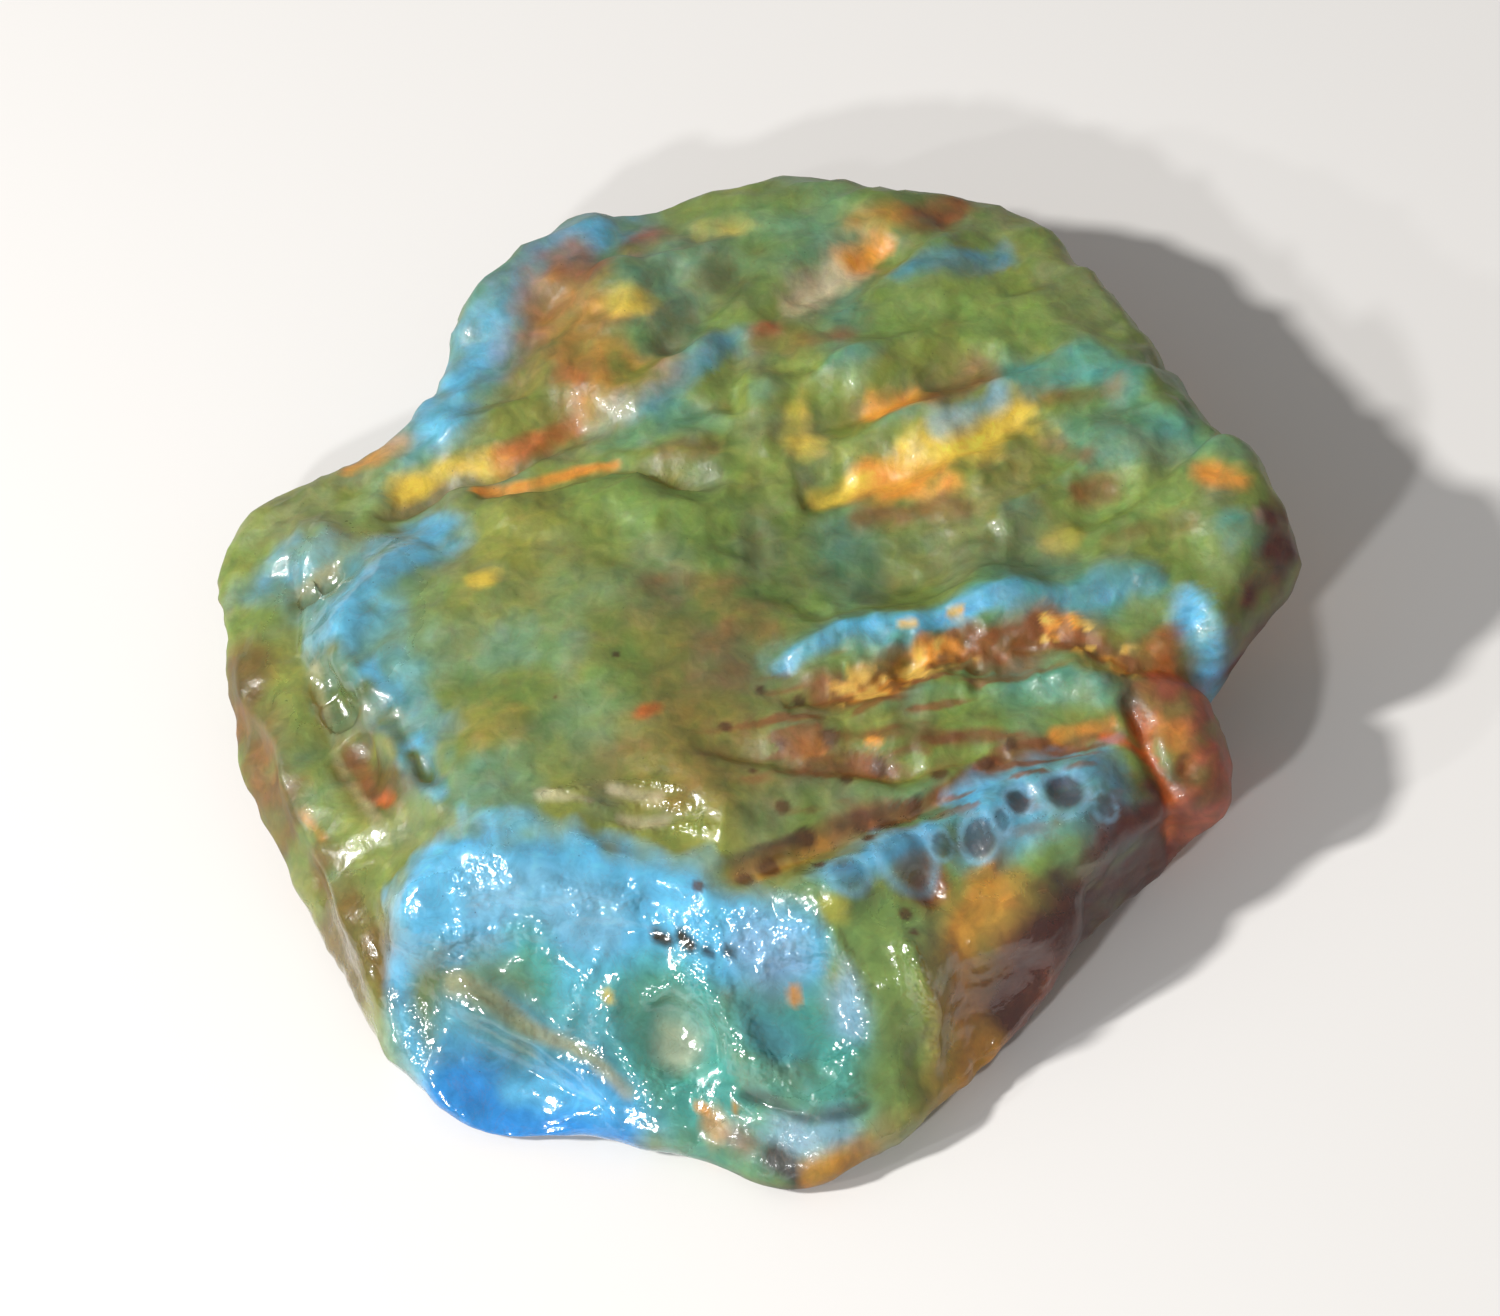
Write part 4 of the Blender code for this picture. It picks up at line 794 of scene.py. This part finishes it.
    (ORANGE, 0.50, 0.5, [(8.0, -15.4), (9.0, -14.6)]),
    # Painted shade: the right flank, turned away from the light, darkened by the next two strokes.
    (PAINTED_SHADE_MAUVE, 1.00, 1.5, [(14.0, -8.4), (14.0, -9.8), (12.4, -11.4), (10.4, -13.9), (8.8, -15.6)]),
    (PAINTED_SHADE_MAUVE, 1.10, 2.4, [(16.0, -8.5), (14.5, -11.0), (11.6, -14.0)]),
    (RUST, 0.45, 0.6, [(13.0, -12.6), (10.6, -15.0), (8.6, -17.0)]),
    (OCHRE, 0.90, 0.8, [(8.2, -16.2), (6.2, -18.4), (4.3, -20.2)]),
    (PINK, 1.00, 1.6, [(15.4, -4.8), (16.6, -5.8), (16.8, -7.6)]),
    (DARK, 0.70, 0.5, [(13.4, -4.0), (13.9, -5.2)]),
    (RUST, 0.90, 0.3, [(14.0, -5.2), (14.2, -6.7), (15.0, -7.9)]),
    (ORANGE, 0.55, 0.6, [(15.2, -5.6), (15.5, -6.5)]),
    (BROWN, 1.00, 0.45, [(15.6, -6.7), (15.9, -7.4)]),
    # The front face.
    (BLUE, 1.10, 1.7, [(-11.0, -12.4), (-8.5, -12.4), (-5.5, -12.8), (-3.0, -13.2)]),
    (BLUE, 1.10, 1.7, [(-11.4, -13.4), (-7.5, -13.6), (-4.0, -14.6), (-1.6, -14.6)]),
    (PALE_BLUE, 0.60, 1.0, [(-10.0, -12.9), (-7.6, -13.2), (-5.6, -13.6)]),
    (BLUE, 0.85, 1.1, [(-1.4, -14.4), (0.2, -14.6), (1.6, -14.9)]),
    (LILAC, 0.60, 0.8, [(-0.2, -14.6), (1.0, -15.0), (0.4, -15.6)]),
    (BLUE, 0.80, 0.7, [(-12.8, -14.6), (-12.6, -16.2), (-11.8, -17.8)]),
    (TEAL, 1.10, 1.4, [(-8.0, -15.2), (-6.4, -16.0), (-5.4, -17.2)]),
    (BLUE, 0.50, 0.9, [(-6.6, -15.0), (-5.6, -15.6), (-4.8, -16.6)]),
    # Painted shade: the two moss-green strokes of these three darken the upper and left walls of the hollow.
    (MOSS, 0.75, 0.9, [(-11.4, -15.0), (-10.0, -15.2), (-8.8, -15.6)]),
    (GREEN, 0.35, 0.7, [(-10.2, -15.0), (-8.9, -15.3)]),
    (MOSS, 0.95, 0.8, [(-11.9, -15.0), (-11.7, -15.9), (-11.3, -16.6)]),
    (SEA, 1.10, 1.6, [(-10.4, -16.6), (-8.2, -17.0), (-6.2, -17.6)]),
    (DEEP_BLUE, 1.05, 1.4, [(-10.8, -18.0), (-8.0, -18.8), (-5.2, -19.2)]),
    (BLUE, 0.60, 0.6, [(-7.6, -18.2), (-4.8, -18.9), (-3.4, -19.4)]),
    (BLUE, 0.80, 0.5, [(-9.0, -17.6), (-7.4, -17.9)]),
    (STRAW, 0.60, 0.35, [(-11.0, -14.8), (-8.7, -16.2), (-6.8, -16.9), (-4.7, -18.3)]),
    (MOSS, 0.45, 0.45, [(-10.0, -15.7), (-8.6, -16.5)]),
    (TEAL, 1.10, 1.7, [(-3.8, -16.2), (-2.8, -17.0), (-2.2, -18.4)]),
    (MOSS, 0.35, 0.9, [(-4.0, -16.0), (-3.0, -17.2)]),
    (CREAM, 0.35, 0.80, [(-3.1, -16.7), (-2.7, -17.1)]),
    (TEAL, 1.10, 1.6, [(0.4, -17.2), (1.8, -17.2), (3.0, -17.4)]),
    (SEA, 0.60, 0.9, [(0.2, -17.0), (1.0, -17.6)]),
    (LILAC, 0.60, 0.8, [(3.1, -16.0), (3.3, -16.8)]),
    (TEAL, 0.70, 1.6, [(-1.2, -19.6), (1.5, -19.6), (3.5, -19.2)]),
    (LILAC, 0.55, 0.8, [(1.0, -20.2), (3.0, -20.0)]),
    (GREEN, 0.85, 1.5, [(4.7, -14.2), (5.3, -16.5), (4.9, -18.6)]),
    (MOSS, 0.35, 1.2, [(5.0, -14.6), (5.2, -16.6), (4.8, -18.4)]),
    (DARK, 0.95, 0.28, [(-3.7, -14.0), (-3.4, -14.1)]),
    (DARK, 0.95, 0.28, [(-2.9, -14.0), (-2.5, -14.4)]),
    (DARK, 0.80, 0.20, [(-1.9, -14.6), (-1.6, -14.8)]),
    (DARK, 0.80, 0.20, [(-1.0, -14.7), (-0.8, -14.8)]),
    (DARK, 0.95, 0.55, [(0.5, -20.8), (1.5, -21.2)]),
    # Painted shade: a dark line along the step below the round hollow.
    (DARK, 0.60, 0.22, [(-0.6, -18.9), (1.5, -19.5), (3.9, -19.3)]),
    (ORANGE, 0.55, 0.4, [(-1.8, -19.4), (-1.5, -19.8)]),
    (ORANGE, 0.70, 0.15, [(-2.2, -19.0), (-2.0, -19.1)]),
    (OCHRE, 0.70, 0.15, [(-1.0, -19.2), (-0.9, -19.3)]),
    (BROWN, 0.60, 0.4, [(-1.0, -20.0), (-0.4, -20.4)]),
    (ORANGE, 0.80, 0.22, [(1.2, -15.6), (1.3, -15.8)]),
    (YELLOW, 0.60, 0.18, [(-5.3, -15.7), (-5.2, -15.9)]),
    (OCHRE, 0.90, 0.7, [(2.0, -21.2), (3.8, -20.9)]),
]

# Washes of colour over everything, over the low sides and last of all: colour, how much of it, how much its
# noise changes that, the noise's lumps and number, and the share of a finer noise. The browner low sides are
# painted shade.
WASHES = [
    (OLIVE, 0.45, 0.8, 4.5, 1, 0.25), (TEAL, -0.10, 0.9, 3.2, 3, 0.25), (MOSS, -0.15, 0.7, 2.2, 5, 0.30),
]
LOW_WASHES = [(BROWN, 0.35, 0.8, 3.0, 6, 0.30), (OCHRE, -0.10, 0.9, 2.0, 7, 0.20)]
LAST_WASHES = [(GREY_GREEN, 0.0, 0.9, 1.9, 8, 0.3)]

# Ridges and grooves tinted by height as painted light and painted shade: teal on the ridges stands for light
# catching them, brown in the grooves is painted shade. Colour, which way they stand, and the height from
# which it shows.
RIDGE_LIGHT_AND_GROOVE_SHADE = [(TEAL, 1.0, 0.10), (BROWN, -1.0, 0.15)]
TINT_RATE = 2.0

# How strong the strokes of colour are, how much wider than their lines, and how much less ragged in front.
PATCHY_MEAN = 0.90
STROKE_SPREAD = 1.35
FRONT_SPARED = 0.6

# How far from their lines the brown flecks and painted gold glints lie.
FLECK_AND_GLINT_REACH = 0.9

# The pale ring round each bubble, in shares of the bubble's radius.
RING_PLACE = 1.1
RING_WIDTH = 0.3

# The height of a thread that is crinkled through and through.
CRINKLED_HEIGHT = 0.14

# The amber, and the yellow-brown that it takes on where it is thick.
AMBER = {
    "IOR": 1.54,
    "Specular IOR Level": 0.3,
    "Transmission Weight": 0.55,
    "Subsurface Weight": 0.7,
    "Subsurface Scale": 0.001,
    "Subsurface Radius": (1.2, 0.8, 0.6),
    "Coat Roughness": 0.10,
}
ABSORPTION = {"Color": (0.95, 0.55, 0.12, 1.0), "Density": 400.0}

# The colour sockets of a mix node: the two that go in and the one that comes out.
MIX_FIRST = 6
MIX_SECOND = 7
MIX_RESULT = 2

# The view: what it looks at, from how far in mm, and from how high in degrees.
VIEW_MIDDLE = (-0.3, -1.8, 6.0)
VIEW_DISTANCE = 260.0
VIEW_ELEVATION = 55.0
PHOTO_WIDTH = 1500
PIXELS_PER_MM = 27.0
SENSOR_WIDTH = 36.0

# The lamps: name, the way from the nugget to it, its size in metres, its power and its colour.
LIGHTS = [
    ("key", (-0.70, -0.28, 0.66), 0.03, 1.65, (1.0, 0.98, 0.95)),
    ("front glint", (-0.36, -0.74, 0.56), 0.020, 0.52, (1.0, 1.0, 1.0)),
    ("left glint", (-0.80, -0.52, 0.48), 0.012, 0.20, (1.0, 1.0, 1.0)),
]
LIGHT_DISTANCE = 0.35

# The light from all round, and the floor.
STUDIO = {"Color": (1.0, 0.98, 0.96, 1.0), "Strength": 0.38}
FLOOR = {"Base Color": (0.60, 0.59, 0.58, 1.0), "Roughness": 0.6}

# What scrambles the whole numbers of a cell into a number that looks drawn by lot.
AXIS_MIXERS = (73856093, 19349663, 83492791)
NOISE_MIXER = 2654435761
LAST_MIXER = 1274126177
LOWEST_CELL = 1 << 20
KEPT_BITS = 0xFFFF


def lattice(cells, seed):
    """A fixed scattering of numbers from 0 to 1 over whole-numbered cells."""
    axes = (cells.astype(np.uint64) + np.uint64(LOWEST_CELL)) * np.array(AXIS_MIXERS, np.uint64)
    mixed = np.bitwise_xor.reduce(axes, axis=1) ^ np.uint64(seed * NOISE_MIXER)
    mixed ^= mixed >> np.uint64(13)
    mixed *= np.uint64(LAST_MIXER)
    mixed ^= mixed >> np.uint64(16)
    return (mixed & np.uint64(KEPT_BITS)).astype(float) / KEPT_BITS


def noise(points, size, seed):
    """Smooth noise from -1 to 1 whose lumps are about this size; size may differ by axis."""
    scaled = points / np.array(size)
    cells = np.floor(scaled)
    t = scaled - cells
    t = t * t * (3.0 - 2.0 * t)
    cells = cells.astype(np.int64)
    total = np.zeros(len(points))
    for corner in np.ndindex(2, 2, 2):
        weight = np.prod(np.where(corner, t, 1.0 - t), axis=1)
        total += weight * lattice(cells + np.array(corner), seed)
    return total * 2.0 - 1.0


def ridged(points, size, seed):
    """Noise from -1 to 1 with sharp crests."""
    return 1.0 - 2.0 * np.abs(noise(points, size, seed))


def haze(points, facing, height):
    """The colour of each point."""
    x, y = wandering(points[:, 0], points[:, 1])
    fine = noise(points, 1.4, 2)
    finest = noise(points, 0.6, 4)
    colour = np.tile(np.array(GREEN), (len(points), 1))

    def blend(other, share, most=1.0):
        share = np.clip(most * share, 0.0, 1.0)[:, None]
        colour[:] = colour * (1.0 - share) + np.array(other) * share

    def wash(table, where, finer):
        for other, mean, change, size, seed, share in table:
            blend(other, where * (mean + change * noise(points, size, seed) + share * finer))

    wash(WASHES, 1.0, fine)
    # Painted light and painted shade: teal on raised ridges, brown in sunk grooves.
    for other, way, least in RIDGE_LIGHT_AND_GROOVE_SHADE:
        blend(other, np.clip((way * height - least) * TINT_RATE + 0.4 * fine, 0.0, 1.0), most=0.55)
    # Painted shade: browner on the low sides.
    wash(LOW_WASHES, ramp(-facing[:, 2], start=-0.3, run=0.5), fine)
    wash(LAST_WASHES, 1.0, finest)
    veined = noise(along(points, (0.9, 0.44), (3.0, 0.8)), 1.0, 9)
    even = ramp(-facing[:, 1], start=0.10, run=0.3) * ramp(-y, start=10.5, run=2.0)
    patchy = PATCHY_MEAN + 0.15 * even + (0.45 * veined + 0.30 * finest) * (1.0 - 0.75 * even)
    ragged = (0.6 * fine + 0.3 * finest) * (1.0 - FRONT_SPARED * even)
    for other, strength, reach, line in PAINT:
        distance, _, _ = from_line(x, y, line)
        blend(other, strength * patchy * inside(distance / (reach * (STROKE_SPREAD + ragged)), fade=1.4))
    streaks = noise(along(points, (1.0, 0.2), (2.6, 0.35)), 1.0, 10)
    banded = near(x, y, middle=(6.0, -6.6), sizes=(9.5, 4.6)) * ramp(facing[:, 2], start=0.5, run=0.2)
    blend(BROWN, banded * ramp(streaks, start=0.22, run=0.25), most=0.8)
    # Brown flecks of crust, and painted gold glints among them.
    flecks_and_glints = noise(points, 0.42, 13) + 0.4 * noise(points, 0.9, 14)
    for line in BROWN_FLECKS_AND_GOLD_GLINTS:
        distance, _, _ = from_line(x, y, line)
        close = inside(distance / FLECK_AND_GLINT_REACH, fade=2.0)
        blend(BROWN, close * ramp(-flecks_and_glints, start=0.1, run=0.25), most=0.8)
        blend(GOLD_GLINT, close * ramp(flecks_and_glints, start=0.18, run=0.25))
    for spot_x, spot_y, reach in SPECKS:
        off = np.hypot(points[:, 0] - spot_x, points[:, 1] - spot_y) / (reach * (1.3 + 0.5 * finest))
        blend(DIRT, inside(off, fade=2.5), most=0.85)
    for spot_x, spot_y, reach, depth in BUBBLES:
        off = np.hypot(points[:, 0] - spot_x, points[:, 1] - spot_y) / reach
        blend(SLATE, inside(off, fade=3.5), most=depth)
        blend(PALE_BLUE, inside(np.abs(off - RING_PLACE) / RING_WIDTH, fade=1.0), most=0.6)
    shade = 1.0 + (0.16 * fine + 0.14 * finest) * (1.0 - FRONT_SPARED * even)
    return colour * shade[:, None]


def gloss(points, facing):
    """How freshly broken and glassy the surface is: one on the front face, less on the worn top."""
    x, y = points[:, 0], points[:, 1]
    front = ramp(-facing[:, 1], start=0.10, run=0.3) * ramp(-y, start=8.5, run=2.0)
    front *= 1.0 - 0.85 * ramp(facing[:, 0], start=0.40, run=0.2975)
    front *= 1.0 - near(x, y, middle=(1.0, -21.0), sizes=(4.5, 2.2))
    crest_gloss = 0.8 * near(x, y, middle=(-15.4, 0.0), sizes=(4.2, 6.5))
    crest_gloss *= 1.0 - near(x, y, middle=(-14.6, -6.4), sizes=(2.0, 3.2))
    ripples_gloss = 0.9 * near(x, y, middle=(-5.0, -9.8), sizes=(4.0, 1.8))
    roll_gloss = 0.6 * near(x, y, middle=(6.0, -11.5), sizes=(7.0, 3.0))
    return np.maximum.reduce([front, crest_gloss, ripples_gloss, roll_gloss])


def crinkle(points):
    """Where the surface is finely crinkled and glitters: along the threads and in a few patches."""
    crinkled = threads(points) / CRINKLED_HEIGHT
    for middle, sizes in CRINKLED:
        crinkled = np.maximum(crinkled, near(points[:, 0], points[:, 1], middle, sizes))
    return np.clip(crinkled, 0.0, 1.0)


def set_values(node, values):
    for name, value in values.items():
        node.inputs[name].default_value = value


def amber_material():
    """Clear amber with a coloured haze in it, under a glossy skin with fine wrinkles."""
    material = bpy.data.materials.new("amber")
    material.use_nodes = True
    nodes, links = material.node_tree.nodes, material.node_tree.links
    shader = nodes["Principled BSDF"]
    place = nodes.new("ShaderNodeTexCoord").outputs["Object"]

    def attribute(name, output):
        node = nodes.new("ShaderNodeAttribute")
        node.attribute_name = name
        return node.outputs[output]

    def texture(kind, per_mm, **values):
        node = nodes.new("ShaderNodeTex" + kind)
        set_values(node, values)
        node.inputs["Scale"].default_value = per_mm / MM
        links.new(place, node.inputs["Vector"])
        return node.outputs

    def worked_out(operation, first, second=0.0, third=None):
        node = nodes.new("ShaderNodeMath")
        node.operation = operation
        links.new(first, node.inputs[0])
        node.inputs[1].default_value = second
        if third is not None:
            links.new(third, node.inputs[2])
        return node.outputs[0]

    def ranged(value, to, given=(0.0, 1.0)):
        """A value, with the given range of it stretched over another."""
        node = nodes.new("ShaderNodeMapRange")
        links.new(value, node.inputs["Value"])
        set_values(node, dict(zip(("From Min", "From Max", "To Min", "To Max"), given + to)))
        return node.outputs["Result"]

    def grey(value):
        node = nodes.new("ShaderNodeCombineColor")
        for name in ("Red", "Green", "Blue"):
            links.new(value, node.inputs[name])
        return node.outputs["Color"]

    def mixed(mode, factor, first, second):
        """One colour laid over another, which may be a plain colour; the share may be a plain number."""
        node = nodes.new("ShaderNodeMix")
        node.data_type = "RGBA"
        node.blend_type = mode
        if isinstance(factor, float):
            node.inputs["Factor"].default_value = factor
        else:
            links.new(factor, node.inputs["Factor"])
        links.new(first, node.inputs[MIX_FIRST])
        if isinstance(second, tuple):
            node.inputs[MIX_SECOND].default_value = (*second, 1.0)
        else:
            links.new(second, node.inputs[MIX_SECOND])
        return node.outputs[MIX_RESULT]

    def bump(height, millimetres):
        node = nodes.new("ShaderNodeBump")
        node.inputs["Distance"].default_value = millimetres * MM
        links.new(height, node.inputs["Height"])
        return node

    fresh = attribute("gloss", "Fac")
    clouds = texture("Noise", per_mm=1.3, Detail=3.0, Roughness=0.62, Distortion=0.6)
    veins = texture("Noise", per_mm=0.55, Detail=4.0, Roughness=0.70, Distortion=1.4)
    specks = texture("Voronoi", per_mm=1.6)
    cloudy = ranged(fresh, to=(0.38, 0.12))
    colour = mixed("SOFT_LIGHT", cloudy, attribute("haze", "Color"), clouds["Color"])
    colour = mixed("MULTIPLY", 1.0, colour, grey(ranged(clouds["Fac"], to=(0.80, 1.20), given=(0.3, 0.7))))
    off_vein = worked_out("ABSOLUTE", worked_out("SUBTRACT", veins["Fac"], 0.5))
    colour = mixed("MIX", ranged(off_vein, to=(0.14, 0.0), given=(0.0, 0.02)), colour, BROWN)
    colour = mixed("MIX", ranged(specks["Distance"], to=(0.5, 0.0), given=(0.03, 0.06)), colour, DARK)
    links.new(colour, shader.inputs["Base Color"])

    wrinkles = texture("Noise", per_mm=1.2, Detail=4.0, Roughness=0.60, Distortion=0.2)
    grain = texture("Noise", per_mm=2.4, Detail=1.0, Roughness=0.5)
    first_bump = bump(wrinkles["Fac"], millimetres=0.10)
    first_bump.inputs["Strength"].default_value = 0.42
    second_bump = bump(grain["Fac"], millimetres=0.25)
    links.new(ranged(attribute("crinkle", "Fac"), to=(0.12, 1.0)), second_bump.inputs["Strength"])
    links.new(first_bump.outputs["Normal"], second_bump.inputs["Normal"])
    for socket in ("Normal", "Coat Normal"):
        links.new(second_bump.outputs["Normal"], shader.inputs[socket])
    roughness = worked_out("MULTIPLY_ADD", clouds["Fac"], 0.25, ranged(fresh, to=(0.36, 0.02)))
    links.new(roughness, shader.inputs["Roughness"])
    links.new(ranged(fresh, to=(0.08, 0.85)), shader.inputs["Coat Weight"])

    shader.subsurface_method = "BURLEY"
    set_values(shader, AMBER)
    volume = nodes.new("ShaderNodeVolumeAbsorption")
    set_values(volume, ABSORPTION)
    links.new(volume.outputs["Volume"], nodes["Material Output"].inputs["Volume"])
    return material


def divided_cube(cuts):
    mesh = bmesh.new()
    bmesh.ops.create_cube(mesh, size=2.0)
    bmesh.ops.subdivide_edges(mesh, edges=mesh.edges[:], cuts=cuts, use_grid_fill=True)
    mesh.verts.index_update()
    return mesh


def sphere_directions(mesh):
    """The cube's points moved on to a sphere, evenly but for a crowding together at the front of the top."""
    cube = np.array([vertex.co[:] for vertex in mesh.verts])
    bent = np.tan(cube * np.pi / 4.0)
    bent /= np.linalg.norm(bent, axis=1)[:, None]
    bent += CROWDING * np.array(CROWDED_SIDE)
    return bent / np.linalg.norm(bent, axis=1)[:, None]


def build_surface():
    mesh = divided_cube(CUBE_CUTS)
    edges = np.array([[end.index for end in edge.verts] for edge in mesh.edges])
    points, facing, height = surface(sphere_directions(mesh), edges)
    bmesh.ops.recalc_face_normals(mesh, faces=mesh.faces[:])
    data = bpy.data.meshes.new(PIECE)
    mesh.to_mesh(data)
    mesh.free()
    data.vertices.foreach_set("co", (points * MM).ravel())
    colours = np.ones((len(points), 4))
    # The haze colours also carry the painted highlights and painted shade.
    colours[:, :3] = haze(points, facing, height)
    layer = data.color_attributes.new("haze", "FLOAT_COLOR", "POINT")
    layer.data.foreach_set("color", colours.ravel())
    for name, values in (("gloss", gloss(points, facing)), ("crinkle", crinkle(points))):
        layer = data.attributes.new(name, "FLOAT", "POINT")
        layer.data.foreach_set("value", values)
    data.shade_smooth()
    data.update()
    data.materials.append(amber_material())
    piece = bpy.data.objects.new(PIECE, data)
    bpy.context.scene.collection.objects.link(piece)
    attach(piece, BODY)
    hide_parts(NODE)


def build_camera():
    """The photograph's camera, looking along +Y and down at the nugget."""
    data = bpy.data.cameras.new("camera")
    data.sensor_fit = "HORIZONTAL"
    data.sensor_width = SENSOR_WIDTH
    data.lens = VIEW_DISTANCE * PIXELS_PER_MM / PHOTO_WIDTH * SENSOR_WIDTH
    data.clip_start = 0.01
    camera = bpy.data.objects.new("camera", data)
    elevation = np.radians(VIEW_ELEVATION)
    forward = np.array([0.0, np.cos(elevation), -np.sin(elevation)])
    camera.location = (np.array(VIEW_MIDDLE) - VIEW_DISTANCE * forward) * MM
    camera.rotation_euler = (np.pi / 2 - elevation, 0.0, 0.0)
    bpy.context.scene.collection.objects.link(camera)
    bpy.context.scene.camera = camera


def add_light(name, direction, size, power, colour):
    """A round lamp of this size, standing in this direction from the nugget and facing it."""
    data = bpy.data.lights.new(name, "AREA")
    data.shape = "DISK"
    data.size = size
    data.energy = power
    data.color = colour
    light = bpy.data.objects.new(name, data)
    direction = Vector(direction).normalized()
    light.location = direction * LIGHT_DISTANCE
    light.rotation_euler = direction.to_track_quat("Z", "Y").to_euler()
    bpy.context.scene.collection.objects.link(light)


def build_light():
    for row in LIGHTS:
        add_light(*row)
    world = bpy.data.worlds.new("studio")
    bpy.context.scene.world = world
    world.use_nodes = True
    set_values(world.node_tree.nodes["Background"], STUDIO)
    bpy.context.scene.view_settings.view_transform = "Standard"


def build_floor():
    bpy.ops.mesh.primitive_plane_add(size=4.0)
    floor = bpy.context.object
    floor.name = "floor"
    material = bpy.data.materials.new("floor")
    material.use_nodes = True
    set_values(material.node_tree.nodes["Principled BSDF"], FLOOR)
    floor.data.materials.append(material)


build_surface()
build_camera()
build_light()
build_floor()
